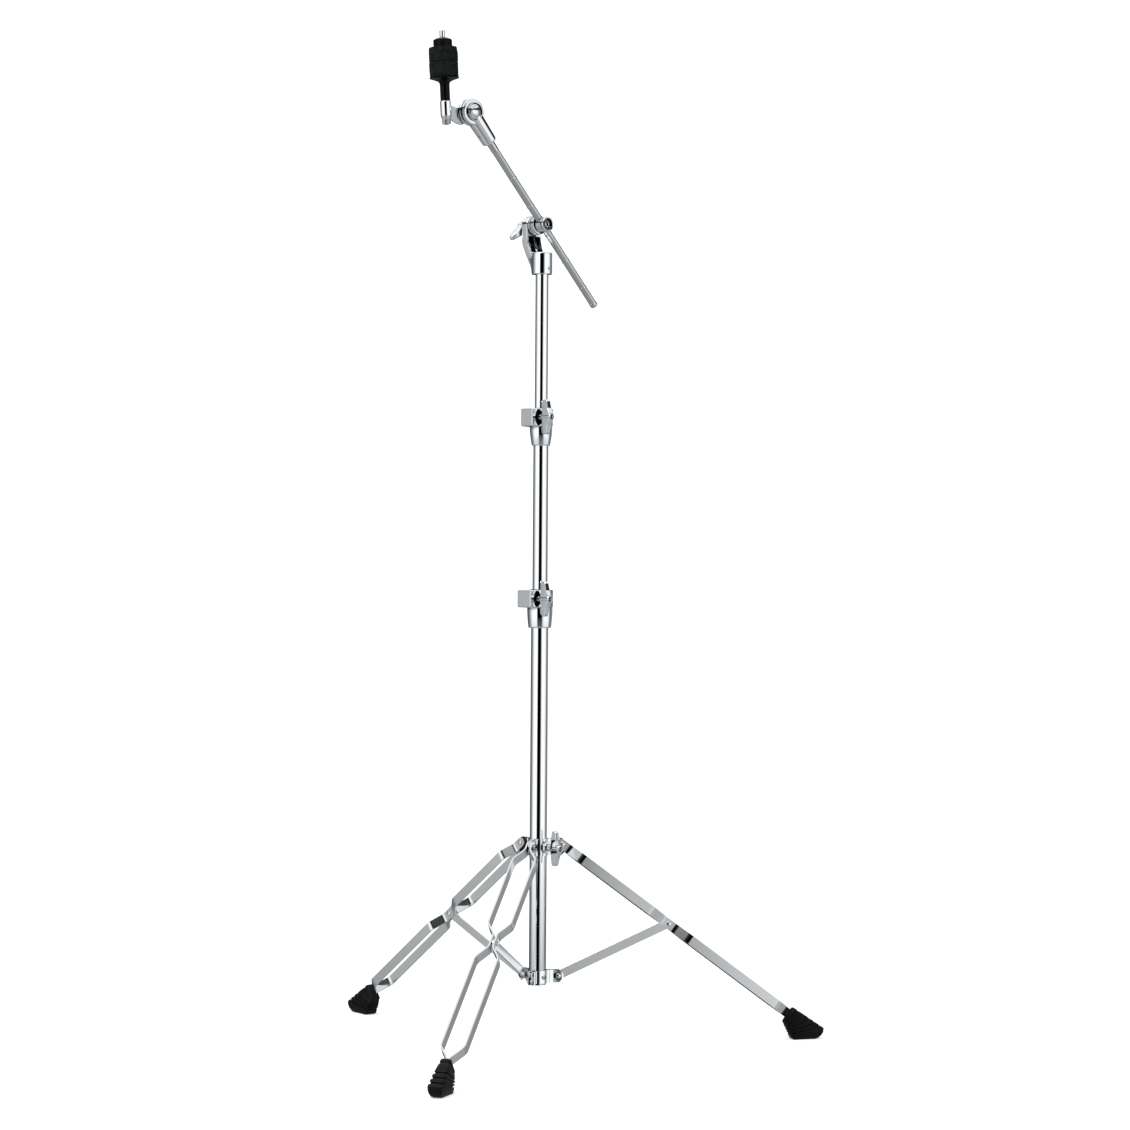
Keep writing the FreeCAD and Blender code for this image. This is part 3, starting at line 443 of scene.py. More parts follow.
def rounded_rectangle(half_x, half_y, radius, steps):
    radius = min(radius, half_x * 0.98, half_y * 0.98)
    points = []
    for quadrant, (side_x, side_y) in enumerate(((1, 1), (-1, 1), (-1, -1), (1, -1))):
        x, y = side_x * (half_x - radius), side_y * (half_y - radius)
        for step in range(steps + 1):
            angle = TAU / 4 * (quadrant + step / steps)
            points.append((x + radius * cos(angle), y + radius * sin(angle)))
    return points


def divided(points, widest):
    """The same closed outline with more points, so that no side looks wider than this from the origin."""
    result = []
    for index, point in enumerate(points):
        here, after = Vector(point), Vector(points[(index + 1) % len(points)])
        count = max(1, ceil(here.angle(after) / widest))
        result += [tuple(here.lerp(after, step / count)) for step in range(count)]
    return result


def drawn_in(points, inset):
    """A counterclockwise outline moved inwards."""
    result = []
    count = len(points)
    for index, (x, y) in enumerate(points):
        way = (Vector(points[(index + 1) % count]) - Vector(points[index - 1])).normalized()
        result.append((x - way.y * inset, y + way.x * inset))
    return result


def strip(path, thickness, half_width):
    """A bent flat bar: path runs in X and Y, the bar is thick to the path's left, and wide along Z."""
    bm = bmesh.new()
    points = [Vector(point) for point in path]
    lengths = [0.0]
    for one, two in zip(points, points[1:]):
        lengths.append(lengths[-1] + (two - one).length)
    rings = []
    for index, near in enumerate(points):
        before = points[max(index - 1, 0)]
        after = points[min(index + 1, len(points) - 1)]
        way = (after - before).normalized()
        far = near + Vector((-way.y, way.x)) * thickness
        low, high = half_width(lengths[index], lengths[-1])
        corners = ((near, low), (far, low), (far, high), (near, high))
        rings.append([bm.verts.new((spot.x, spot.y, height)) for spot, height in corners])
    return skin(bm, rings)


def evaluated(obj):
    """The object's mesh with its modifiers applied."""
    graph = bpy.context.evaluated_depsgraph_get()
    graph.update()
    return bpy.data.meshes.new_from_object(obj.evaluated_get(graph))


def joined(solids, cuts=()):
    """Solids made one by exact booleans, less the cuts."""
    holder = link("holder", solids[0])
    helpers = [holder]
    for operation, meshes in (("UNION", solids[1:]), ("DIFFERENCE", cuts)):
        for mesh in meshes:
            helpers.append(link("helper", mesh))
            boolean = holder.modifiers.new("boolean", "BOOLEAN")
            boolean.operation = operation
            boolean.solver = "EXACT"
            boolean.object = helpers[-1]
    result = evaluated(holder)
    for helper in helpers:
        bpy.data.objects.remove(helper)
    return result


def rounded(mesh, width, steps):
    """The mesh with its sharp edges rounded, for use in booleans."""
    holder = link("holder", mesh)
    soften(holder, width, steps)
    result = evaluated(holder)
    bpy.data.objects.remove(holder)
    return result


def moved(mesh, matrix):
    mesh.transform(matrix)
    return mesh


# turns a piece made along Z so that it lies along X, -X, Y or -Y
TO_X = Matrix.Rotation(TAU / 4, 4, "Y")
TO_BACK_X = TO_X @ Matrix.Rotation(pi, 4, "X")
TO_Y = Matrix.Rotation(-TAU / 4, 4, "X")
TO_BACK_Y = Matrix.Rotation(TAU / 4, 4, "X")
# turns an outline drawn in X and Y so that it stands in Y and Z
SIDEWAYS = Matrix(((0, 0, 1), (1, 0, 0), (0, 1, 0))).to_4x4()
STILL = Matrix.Identity(4)


# ---- tubes

TUBE_WALL = 1.2 * MM
TUBE_EDGE = 0.5 * MM


def tube_radius(name):
    return half_wide(f"{name}_tube")


def tube_pieces():
    for name in ("base", "middle", "upper"):
        node = f"{name}_tube"
        low, high, radius = bottom(node), top(node), tube_radius(name)
        bore, rim = radius - TUBE_WALL, radius - TUBE_EDGE
        profile = [(bore, low), (rim, low), (radius, low + TUBE_EDGE), (radius, high - TUBE_EDGE),
                   (rim, high), (bore, high), (bore, low)]
        piece(f"{node}_skin", lathe(profile, around=128), MAST_PLACE, node)


def plug_piece():
    node = "base_tube_plug"
    low, high, radius = bottom(node), top(node), half_wide(node)
    dish = low + 1.6 * MM
    profile = [(0, dish), (radius - 4 * MM, dish), (radius - 3 * MM, low), (radius - 0.5 * MM, low),
               (radius, low + 0.5 * MM), (radius, high), (0, high)]
    piece("base_tube_cap", lathe(profile, around=64), MAST_PLACE, node)


# ---- legs and braces

# one leg strap's inner face, in mm: how far down the leg, and how far out from its middle
STRAP_CORNERS = (
    (-8.5, 2.4), (14, 2.4), (34, 16), (168, 16), (190, 1.6),
    (216, 1.6), (238, 16), (409, 16), (432, 0.02), (452, 0.02),
)
STRAP_BEND = 14 * MM
STRAP_HALF = 7 * MM
STRAP_THICK = 2.5 * MM
BRACE_HALF = 6.25 * MM
RIVET_SHANK = 2.4 * MM
RIVET_HEAD = 3.8 * MM
RIVET_DOME = 1.4 * MM
RIVET_INNER = 1.6 * MM


def bar_place(part, number):
    """Along a leg or brace from its own rivet to the shared one: X that way, Y across; and how far it is."""
    start = joint_place(f"{part}_{number}_fold")
    along = centre(f"leg_{number}_rivet") - start
    way = along.normalized()
    return axes(start, way, way.cross(joint_axis(f"leg_{number}_fold"))), along.length


def leg_side(number):
    """X from the mast towards a leg, Y across, Z up, from the mast's foot."""
    out = joint_place(f"leg_{number}_fold") - MAST
    out.z = 0
    return axes(MAST, out, UP)


def end_steps(half):
    """How far along a strip the points of its round end are."""
    return [half * (1 - cosine) for _, cosine in quarter(8)[1:]]


def round_end(half, both=False):
    """Half widths that follow a circle at a strip's start, and at its end too if both."""
    def width(run, total):
        near = min(run, total - run) if both else run
        reach = sqrt(max(half ** 2 - max(half - near, 0) ** 2, (half * 0.12) ** 2))
        return -reach, reach
    return width


def strap_mesh():
    path = rounded_corners(mm(*STRAP_CORNERS), STRAP_BEND, steps=7, closed=False)
    start = [(path[0][0] + run, path[0][1]) for run in end_steps(STRAP_HALF)]
    return strip([path[0]] + start + path[1:], STRAP_THICK, round_end(STRAP_HALF))


def dome(radius, low, high):
    """Profile points of a low round head from its rim at low to its crown at high."""
    rim = low + 0.3 * MM
    curve = [(radius * cosine, rim + (high - rim) * sine) for sine, cosine in quarter(7)[1:-1]]
    return [(radius - 0.2 * MM, low), (radius, rim)] + curve + [(0, high)]


def rivet_head(outer):
    return [(RIVET_SHANK, outer)] + dome(RIVET_HEAD, outer, outer + RIVET_DOME)


def rivet(outer):
    half = rivet_head(outer)
    return lathe([(radius, -height) for radius, height in reversed(half)] + half, around=40)


def leg_pieces(number):
    place, down = bar_place("leg", number)
    for letter, side in (("a", 1), ("b", -1)):
        mesh = moved(strap_mesh(), Matrix.Diagonal((1, side, 1, 1)))
        piece(f"leg_{number}_bar_{letter}", mesh, place, f"leg_{number}_strap_{letter}", rounding=0.55 * MM)
    halves = []
    for turn in (TO_Y, TO_BACK_Y):
        half = lathe([(RIVET_SHANK, RIVET_INNER)] + rivet_head(RIVET_INNER + STRAP_THICK), around=40)
        halves.append(moved(half, shift(down, 0, 0) @ turn))
    piece(f"leg_{number}_rivet_heads", merged(halves), place, f"leg_{number}_rivet")


def brace_piece(number):
    place, span = bar_place("brace", number)
    side = -STRAP_THICK / 2
    start = [-BRACE_HALF] + [run - BRACE_HALF for run in end_steps(BRACE_HALF)]
    path = [(x, side) for x in start] + [(span - x, side) for x in reversed(start)]
    mesh = strip(path, STRAP_THICK, round_end(BRACE_HALF, both=True))
    piece(f"brace_{number}_bar", mesh, place, f"brace_{number}", rounding=0.5 * MM)


# ---- feet

# a foot seen from the side, in mm and in the leg's own axes: its upper and lower edges
FOOT_NECK = ((437, 12.2), (437, -14.4))
FOOT_TOE = (492.5, 14.5)
FOOT_HEEL = (458, -24.8)
# how far its sole bulges, half its width at the neck and the sole, and how early it reaches the second
FOOT_BULGE = 15.1
FOOT_NECK_HALF = 7.9
FOOT_SOLE_HALF = 10.8
FOOT_WIDENS = 1.6
FOOT_CORNER = 3.4
SOLE_TIP = 0.35
FOOT_CLEAR = 0.05 * MM
# along the foot from neck to sole: where each ring is, and how deep it is drawn in
FOOT_RINGS = (
    (0.0, 1.4), (0.02, 0.5), (0.05, 0.0), (0.11, 0.0), (0.13, 1.0), (0.17, 1.0), (0.20, 0.3), (0.24, 0.2),
)
# the same for one groove, and where the grooves start
FOOT_GROOVE = ((0.0, 0.0), (0.02, 0.3), (0.03, 1.7), (0.08, 1.7), (0.09, 0.3), (0.11, 0.0))
FOOT_GROOVES_AT = (0.46, 0.64, 0.82)


def foot_ring(share, inset, shrink=1.0, push=0.0):
    """A rounded rectangle across the foot, at a share of its length and pushed out along it."""
    upper = Vector(FOOT_NECK[0]).lerp(Vector(FOOT_TOE), share)
    lower = Vector(FOOT_NECK[1]).lerp(Vector(FOOT_HEEL), share)
    half = FOOT_NECK_HALF + (FOOT_SOLE_HALF - FOOT_NECK_HALF) * min(share * FOOT_WIDENS, 1)
    middle, tall = (upper + lower) / 2, (upper - lower).length / 2
    rise = (upper - lower).normalized()
    out = Vector((rise.y, -rise.x))
    wide = (half - inset) * (SOLE_TIP + (1 - SOLE_TIP) * shrink)
    ring = []
    for across, up in rounded_rectangle(wide, (tall - inset) * shrink, FOOT_CORNER, 4):
        spot = middle + rise * up + out * push
        ring.append((spot.x * MM, across * MM, spot.y * MM))
    return ring


def foot_piece(number):
    """A fan of rounded rectangles with grooves, from the neck to a bulging sole that stands on the floor."""
    rings = [foot_ring(share, inset) for share, inset in FOOT_RINGS]
    for start in FOOT_GROOVES_AT:
        rings += [foot_ring(start + share, inset) for share, inset in FOOT_GROOVE]
    rings.append(foot_ring(1.0, 0.0))
    for sine, cosine in quarter(9)[1:-1]:
        rings.append(foot_ring(1.0, 0.0, cosine ** 0.75, FOOT_BULGE * sine))
    place, _ = bar_place("leg", number)
    mesh = moved(loft(rings), place)
    for vertex in mesh.vertices:
        vertex.co.z = max(vertex.co.z, FOOT_CLEAR)
    piece(f"leg_{number}_shoe", mesh, STILL, f"leg_{number}_foot", rounding=0.35 * MM)


# ---- stamped plates, rivets and screws

PLATE_THICK = 2 * MM
PLATE_START = radians(11)
EAR_START = 4.2 * MM
PLATES = {
    "brace_hub": {"reach": 39 * MM, "corner": 6.5 * MM, "half_gap": 1.55 * MM, "joint": "brace_{}_fold",
                  "outer": 3.55 * MM},
    "leg_collar": {"reach": 43 * MM, "corner": 7.5 * MM, "half_gap": 0.1 * MM, "joint": "leg_{}_fold",
                   "outer": 5.0 * MM},
}
SCREW_HEAD = 4 * MM
SCREW_HIGH = 2.2 * MM


def plate_path(reach, corner, half_gap):
    """Round a stamped plate from its far ear's tip, along the tube, to its near ear's tip."""
    sector, tube = TAU / 3, tube_radius("base")
    middle = arc(tube, 16, PLATE_START, sector - 2 * PLATE_START)
    ear = [middle[0], (tube + EAR_START, half_gap), (reach - corner, half_gap), (reach, half_gap)]
    near = rounded_corners(ear, 3 * MM, steps=4, closed=False)[1:]
    fold = Matrix.Rotation(sector, 2) @ Matrix(((1, 0), (0, -1)))
    far = [tuple(fold @ Vector(point)) for point in near]
    return list(reversed(far)) + list(reversed(middle)) + near


def plate_pieces(kind):
    sizes = PLATES[kind]
    corner = sizes["corner"]
    path = plate_path(sizes["reach"], corner, sizes["half_gap"])
    rivets = []
    for number in (1, 2, 3):
        node = f"{kind}_plate_{number}"
        low, high = bottom(node), top(node)

        def width(run, total):
            cut = max(corner - min(run, total - run), 0)
            return low + cut, high - cut

        piece(f"{node}_sheet", strip(path, PLATE_THICK, width), leg_side(number), node, rounding=0.4 * MM)
        spot = joint_place(sizes["joint"].format(number)) - MAST
        place = leg_side(number) @ shift(Vector((spot.x, spot.y)).length, 0, spot.z) @ TO_Y
        rivets.append(moved(rivet(sizes["outer"]), place))
    piece(f"{kind}_rivet_heads", merged(rivets), STILL, f"{kind}_rivets")


def screw():
    """A round screw head along Z with a cross recess."""
    profile = [(2 * MM, -PLATE_THICK), (2 * MM, 0)] + dome(SCREW_HEAD, 0, SCREW_HIGH)
    arm, half = SCREW_HEAD * 0.72, SCREW_HEAD * 0.2
    corners = [(half, half), (arm, half), (arm, -half)]
    cross = []
    for _ in range(4):
        cross += corners
        corners = [(y, -x) for x, y in corners]
    return joined([lathe(profile, around=36)], [extrude(cross, SCREW_HIGH * 0.15, SCREW_HIGH * 2)])


def hub_screws():
    screws = []
    for number in (1, 2, 3):
        out = shift(tube_radius("base") + PLATE_THICK, 0, centre("brace_hub_plate_1").z)
        place = leg_side(number) @ Matrix.Rotation(TAU / 6, 4, "Z") @ out @ TO_X
        screws.append(moved(screw(), place))
    piece("brace_hub_screw_heads", merged(screws), STILL, "brace_hub_screws")


def nut(radius, bore, low, high):
    """A chamfered six-sided nut along Z, with its corners at radius."""
    edge = (high - low) * 0.12
    inner = radius * 0.88
    flat = radius * cos(TAU / 12)

    def six_sided(angle, reach, height):
        return min(reach, flat / cos((angle % (TAU / 6)) - TAU / 12))

    profile = [(bore, low), (inner, low), (radius, low + edge), (radius, high - edge), (inner, high),
               (bore, high), (bore, low)]
    return lathe(profile, around=72, shape=six_sided)


# ---- wing bolts

WING_HALF = 25.7 * MM
WING_WAIST = 5.4 * MM
WING_THICK = 10 * MM
WING_TAPER = 0.35
THREAD_PITCH = 1 * MM
THREAD_DEEP = 0.35 * MM


def thread(radius, low, high):
    """Profile points of a thread from low to high."""
    root = radius - THREAD_DEEP
    points = []
    turns = max(int((high - low) / THREAD_PITCH), 1)
    step = (high - low) / turns
    for turn in range(turns):
        start = low + (high - low) * turn / turns
        points += [(root, start), (radius, start + step * 0.4), (radius, start + step * 0.6)]
    return points + [(root, high)]


def wing_outline(start):
    """Both blades of a wing from the side: X along the bolt, Y along the blades."""
    tip = WING_HALF - 2.5 * MM
    blade = [(0, WING_WAIST), (0.5 * MM, WING_HALF * 0.6), (1.1 * MM, tip), (3 * MM, WING_HALF),
             (8.4 * MM, WING_HALF), (10.4 * MM, tip), (13 * MM, WING_HALF * 0.5), (16.4 * MM, WING_WAIST)]
    upper = [(start + x, y) for x, y in blade]
    return rounded_corners(upper + [(x, -y) for x, y in reversed(upper)], 3 * MM, steps=4)


def wing(shank_start, neck_start):
    """A T-shaped wing bolt with its threaded shank along X."""
    hub = neck_start + 8 * MM
    end = hub + 19 * MM
    blades = rounded(extrude(wing_outline(hub + MM), -WING_THICK / 2, WING_THICK / 2), 1.6 * MM, 3)
    for vertex in blades.vertices:
        vertex.co.z *= 1 - WING_TAPER * min(abs(vertex.co.y) / WING_HALF, 1)
    profile = mm((0, 0), (2.4, 0), base=shank_start) + thread(3 * MM, shank_start + MM, neck_start)
    profile += mm((4.6, 0), (5, 0.5), base=neck_start) + mm((5, -0.8), (5.2, 0), (5.4, 1.2), base=hub)
    profile += mm((5.4, -2), (5.1, -0.6), (4.6, 0), (0, 0), base=end)
    end_hole = mm((0, -6), (3.9, -6), (3.9, -0.4), (4.3, 0), (4.3, 1), (0, 1), base=end)
    return joined([moved(lathe(profile, around=56), TO_X), moved(blades, TO_BACK_Y)],
                  [moved(lathe(end_hole, around=40), TO_X)])


def wing_pieces():
    for name, node, shank, neck in (
        ("lower_wing", "lower_clamp_wing_bolt", 1, 16.5),
        ("upper_wing", "upper_clamp_wing_bolt", 1, 14.6),
        ("collar_wing", "leg_collar_wing_bolt", 13, 22.3),
    ):
        piece(name, wing(shank * MM, neck * MM), joint_axes(f"{name}_turn"), node)


# ---- height clamps

def clamp_sizes(carrier, inner, **sizes):
    """The tube that a clamp sits on, the tube that it holds, and its own sizes in millimetres."""
    return {"carrier": carrier, "inner": inner, **{key: size * MM for key, size in sizes.items()}}


CLAMPS = {
    "lower": clamp_sizes("base", "middle", low_rad=16.9, mid_rad=18.7, ring=19.5, lug_half=14.8,
                         lug_reach=31.6, lug_tall=25.8, bushing=14.5),
    "upper": clamp_sizes("middle", "upper", low_rad=13.8, mid_rad=16.6, ring=17.3, lug_half=12.9,
                         lug_reach=28.7, lug_tall=26.6, bushing=12.6),
}
CLAMP_EDGE = 1.8 * MM
LUG_START = radians(9)
FACET = radians(4)
PIN_RISE = 8 * MM
BOLT_HOLE = 3.05 * MM
RECESS = 11.7 * MM
RECESS_NARROW = 0.58
RECESS_DEEP = 6 * MM


def clamp_outline(ring, half, reach):
    """Seen from above: a ring with a square lug towards -Y, whose corners are rounded."""
    meet = sqrt(ring ** 2 - half ** 2)
    start = atan2(-meet, half) + LUG_START
    curve = arc(ring, 60, start, pi - 2 * start)
    corners = [curve[-1], (-half, -meet), (-half, -reach), (half, -reach), (half, -meet), curve[0]]
    lug = []
    for index in range(1, 5):
        radius = 4 * MM if index in (1, 4) else 1.6 * MM
        lug += corner_arc(corners[index - 1], corners[index], corners[index + 1], radius, 5)
    return divided(curve + lug, FACET)


def clamp_body(sizes, low, high):
    """The casting from its narrow skirt up to the lug and the bushing's seat, before it is drilled."""
    full = clamp_outline(sizes["ring"], sizes["lug_half"], sizes["lug_reach"])
    low_rad, mid_rad = sizes["low_rad"], sizes["mid_rad"]
    lug_low = high - sizes["lug_tall"]
    bore = tube_radius(sizes["carrier"]) + 0.03 * MM
    tube_top = top(f"{sizes['carrier']}_tube")
    seat = sizes["bushing"] + 0.06 * MM

    def circle_ring(radius, height):
        return [(*(Vector(point).normalized() * radius), height) for point in full]

    def lug_ring(out, height, least=0.0):
        spots = [Vector(point) for point in drawn_in(full, -out)]
        return [(*(spot.normalized() * max(spot.length, least)), height) for spot in spots]

    rings = [circle_ring(bore, low), circle_ring(low_rad - CLAMP_EDGE, low)]
    rings += [circle_ring(*point) for point in lower_rim(low_rad, low, CLAMP_EDGE)[1:]]
    for step in range(1, 9):
        share = step / 8
        reach = low_rad + (mid_rad - low_rad) * sin(TAU / 4 * share)
        rings.append(circle_ring(reach, low + CLAMP_EDGE + (lug_low - low - 2.4 * MM) * share))
    rings += [lug_ring(*point, least=mid_rad - 0.5 * MM) for point in lower_rim(0, lug_low, CLAMP_EDGE)]
    rings += [lug_ring(*point) for point in upper_rim(0, high, CLAMP_EDGE)]
    rings += [circle_ring(seat + 0.4 * MM, high), circle_ring(seat, high - 0.4 * MM),
              circle_ring(seat, tube_top), circle_ring(bore, tube_top)]
    return loft(rings, closed=True)


def clamp_piece(name):
    sizes = CLAMPS[name]
    node = f"{name}_clamp_body"
    low, high, half, low_rad = bottom(node), top(node), sizes["lug_half"], sizes["low_rad"]
    floor_at, outside = half - RECESS_DEEP, half + RECESS_DEEP
    recess = lathe([(0, -half / 2), (BOLT_HOLE, -half / 2), (BOLT_HOLE, floor_at), (RECESS, floor_at),
                    (RECESS, half - 0.7 * MM), (RECESS + 0.7 * MM, half), (RECESS + 0.7 * MM, outside),
                    (0, outside)], around=64)
    bolt = CLAMP_PLACE.inverted() @ joint_place(f"{name}_wing_turn")
    recess.transform(Matrix.Translation(bolt) @ Matrix.Diagonal((1, RECESS_NARROW, 1, 1)) @ TO_X)
    pin_hole = lathe([(1.8 * MM, 0)] + mm((1.8, -0.4), (2.3, 0.3), (2.3, 2), base=low_rad), around=32)
    pin_hole.transform(shift(0, 0, low + PIN_RISE) @ TO_Y)
    mesh = joined([clamp_body(sizes, low, high)], [recess, pin_hole])
    piece(f"{name}_clamp_casting", mesh, CLAMP_PLACE, node)


def bushing_piece(name):
    node = f"{name}_bushing"
    low, high, edge = bottom(node), top(node), 0.3 * MM
    inner = tube_radius(CLAMPS[name]["inner"]) + 0.05 * MM
    outer = CLAMPS[name]["bushing"]
    profile = [(inner, low), (outer, low), (outer, high - edge), (outer - edge, high),
               (inner + 0.4 * MM, high), (inner, high - edge), (inner, low)]

    def slit(angle, reach, height):
        return reach - (edge if reach > outer - MM and angle % (TAU / 3) < 0.06 else 0)

    piece(f"{name}_bushing_ring", lathe(profile, around=120, shape=slit), MAST_PLACE, node)


# ---- boom bracket

# the arm, in mm: its outer edge, its inner edge and half its width, each with the height it has there
ARM_OUTER = ((15, 1139.4), (16.5, 1149), (20, 1159), (24.5, 1172), (30, 1187), (31, 1198), (31, 1228))
ARM_INNER = ((6, 1139.4), (6, 1156), (11, 1171.9), (17, 1187), (18, 1198), (18, 1228))
ARM_HALVES = ((8, 1139.4), (8.6, 1154), (12.4, 1170), (14, 1182), (14, 1228))
ARM_HALF = 14 * MM
ARM_BEND = 24 * MM
HEAD_SWEEP = radians(86)
SLEEVE_RAD = 15 * MM
SLEEVE_TALL = 32.2 * MM
POCKET_APART = 6.4 * MM
POCKET_LEAN = 0.32
ROD_HOLE = 5.82 * MM


def across_at(path, height):
    """How far out a path of (out, up) points is at a height."""
    for one, two in zip(path, path[1:]):
        if height <= two[1]:
            share = (height - one[1]) / (two[1] - one[1])
            return one[0] + (two[0] - one[0]) * share
    return path[-1][0]


def bracket_arm():
    """The curved arm, lofted up from the sleeve to a round head."""
    outer, inner, halves = (rounded_corners(mm(*path), ARM_BEND, 6, closed=False)
                            for path in (ARM_OUTER, ARM_INNER, ARM_HALVES))
    low, pivot = bottom("boom_bracket"), BOOM_PIVOT.z
    levels = [(low + (pivot - low) * step / 40, 1.0) for step in range(41)]
    for step in range(1, 15):
        angle = HEAD_SWEEP * step / 14
        levels.append((pivot + ARM_HALF * sin(angle), cos(angle)))
    rings = []
    for height, share in levels:
        far, near = -across_at(outer, height), -across_at(inner, height)
        half = across_at(halves, height) * share
        points = rounded_rectangle((near - far) / 2, half, min(1.6 * MM, half * 0.8), 4)
        rings.append([((far + near) / 2 + x, y, height) for x, y in points])
    return loft(rings)


def bracket_piece():
    low = bottom("boom_bracket")
    high = low + SLEEVE_TALL
    bore, tube_top = tube_radius("upper") + 0.02 * MM, top("upper_tube")
    sleeve = [(bore, low), (SLEEVE_RAD - MM, low), (SLEEVE_RAD - 0.3 * MM, low + 0.3 * MM),
              (SLEEVE_RAD, low + MM)] + upper_rim(SLEEVE_RAD, high, 2 * MM, steps=5)
    sleeve += [(0, high), (0, tube_top), (bore, tube_top), sleeve[0]]
    cuts = []
    for side in (1, -1):
        outline = mm((-21, -5.1), (-21, 5.1), (0, 5.1), (0, -5.1))
        pocket = rounded(extrude(outline, high + 1.5 * MM, high + 25.5 * MM), 1.2 * MM, 2)
        for vertex in pocket.vertices:
            if vertex.co.x < -15 * MM:
                vertex.co.x -= (vertex.co.z - high) * POCKET_LEAN
        cuts.append(moved(pocket, shift(0, side * POCKET_APART, 0)))
    screw_hole = lathe(mm((0, 0), (2.2, 0)) + mm((2.2, -0.4), (2.8, 0.3), base=SLEEVE_RAD)
                       + mm((2.8, 20), (0, 20)), around=32)
    cuts.append(moved(screw_hole, shift(0, 0, centre("boom_bracket_pin").z) @ TO_X))
    mesh = joined([lathe(sleeve, around=96), bracket_arm()], cuts)
    piece("boom_bracket_casting", mesh, CLAMP_PLACE, "boom_bracket")


def tilt_disc_piece():
    def teeth(angle, reach, height):
        return reach - (0.5 * MM if reach > 13 * MM and (angle * 40 / TAU) % 1 > 0.5 else 0)

    profile = mm((3.5, 13), (12.6, 13), (13.4, 13.3), (14.2, 14), (14.2, 16.2), (13.4, 17), (3.5, 17),
                 (3.5, 13))
    place = axes(BOOM_PIVOT, UP, -BOLT_WAY)
    piece("boom_tilt_ring", lathe(profile, around=160, shape=teeth), place, "boom_tilt_disc")


def rod_seat_piece():
    profile = mm((3.4, 5), (12.9, 5), (13.8, 5.6), (13.8, 7.2), (13.2, 7.6), (13.2, 10), (13.8, 10.5),
                 (13.8, 12), (13.1, 12.7), (3.4, 12.7), (3.4, 5))
    groove = cylinder(ROD_HOLE, -40 * MM, 40 * MM)
    neck = moved(cylinder(7.5 * MM, 0, 9.5 * MM), TO_BACK_X)
    mesh = joined([moved(lathe(profile, around=96), TO_BACK_X)], [groove, neck])
    piece("boom_rod_saddle", mesh, BOOM_PLACE, "boom_rod_seat")


def eye_bolt_piece():
    """The round head that the rod passes through, with its threaded shank."""
    profile = mm((0, -4.6), (9.8, -4.6), (10.7, -4.2), (11, -3.4), (11, 7.4), (10.5, 8), (9.9, 8.2),
                 (9.9, 8.8), (10.6, 9.1), (11, 9.8), (11, 11.6), (10.6, 12.8), (9.7, 13.4), (8.7, 13.1),
                 (8.3, 12.4), (8.1, 8.4), (7.6, 7.8), (4.9, 7.6), (4.6, 9.6), (4.0, 10.2), (3.3, 9.9),
                 (2.9, 7.6), (0, 7.5))
    neck = mm((7.4, 0), (7.4, 9), (7, 9.4))
    reach = 47.7 * MM
    shank = [(3.3 * MM, 6 * MM)] + thread(3.4 * MM, 28 * MM, reach - 0.5 * MM) + [(2.6 * MM, reach)]
    mesh = joined([moved(lathe(profile, around=80), TO_X), moved(lathe(neck, around=48), TO_BACK_X),
                   moved(lathe(shank, around=32), TO_BACK_X)], [cylinder(ROD_HOLE, -30 * MM, 30 * MM)])
    piece("boom_eye_head", mesh, BOOM_PLACE, "boom_eye_bolt")


# half the wing nut's blades, in mm: how far out along the blade, its two edges along the bolt, half its
# thickness
PETAL = (
    (0, 0.8, 16.0, 6.6), (7, 0.9, 16.2, 6.3), (14, 1.2, 16.4, 5.6), (20, 2.2, 16.4, 4.8),
    (25, 4.2, 16.0, 4.1), (28.5, 6.4, 15.2, 3.5), (30.4, 8.4, 14.0, 2.6), (31, 10, 12.6, 1.4),
)
PETAL_SAG = 3 * MM
BOOM_WING_START = 31.3 * MM
BOOM_WING_RAD = 8.2 * MM
BOOM_WING_DOME = 5 * MM
BOOM_WING_TILT = radians(56)


def boom_wing_piece():
    """The wing nut behind the arm: a round hub and two swept blades like petals."""
    start, end = BOOM_WING_START, BOOM_WING_START + 19 * MM
    rings = []
    for side, rows in ((-1, PETAL[::-1]), (1, PETAL[1:])):
        for along, near, far, half in rows:
            sag = PETAL_SAG * (along / PETAL[-1][0]) ** 2
            ring = rounded_rectangle((far - near) * MM / 2, half * MM, 2.2 * MM, 5)
            rings.append([(start + (near + far) * MM / 2 + x, y - sag, side * along * MM) for x, y in ring])
    profile = mm((3.5, 0), (7.2, 0), (8.2, 1), base=start) + [(BOOM_WING_RAD, end - BOOM_WING_DOME)]
    for step in range(1, 7):
        angle = TAU / 4 * step / 6
        profile.append((BOOM_WING_RAD * cos(angle * 0.8),
                        end - BOOM_WING_DOME + BOOM_WING_DOME * sin(angle)))
    profile += mm((0, 0), (0, -2), (3.5, -2), base=end) + [profile[0]]
    mesh = joined([moved(lathe(profile, around=64), TO_X), loft(rings)])
    place = axes(BOOM_PIVOT, -BOLT_WAY, UP) @ Matrix.Rotation(BOOM_WING_TILT, 4, "X")
    piece("boom_wing", mesh, place, "boom_wing_nut")


# ---- boom rod

ROD_RAD = 5.75 * MM
ROD_LOW = -151 * MM
ROD_HIGH = 183 * MM
SMOOTH_FROM = 136.5 * MM
FLUTE_SECTION = 51.5 * MM
FLUTE_ROOT = ROD_RAD - 0.3 * MM
FLUTE_DEEP = 0.35 * MM
FLUTES = 10


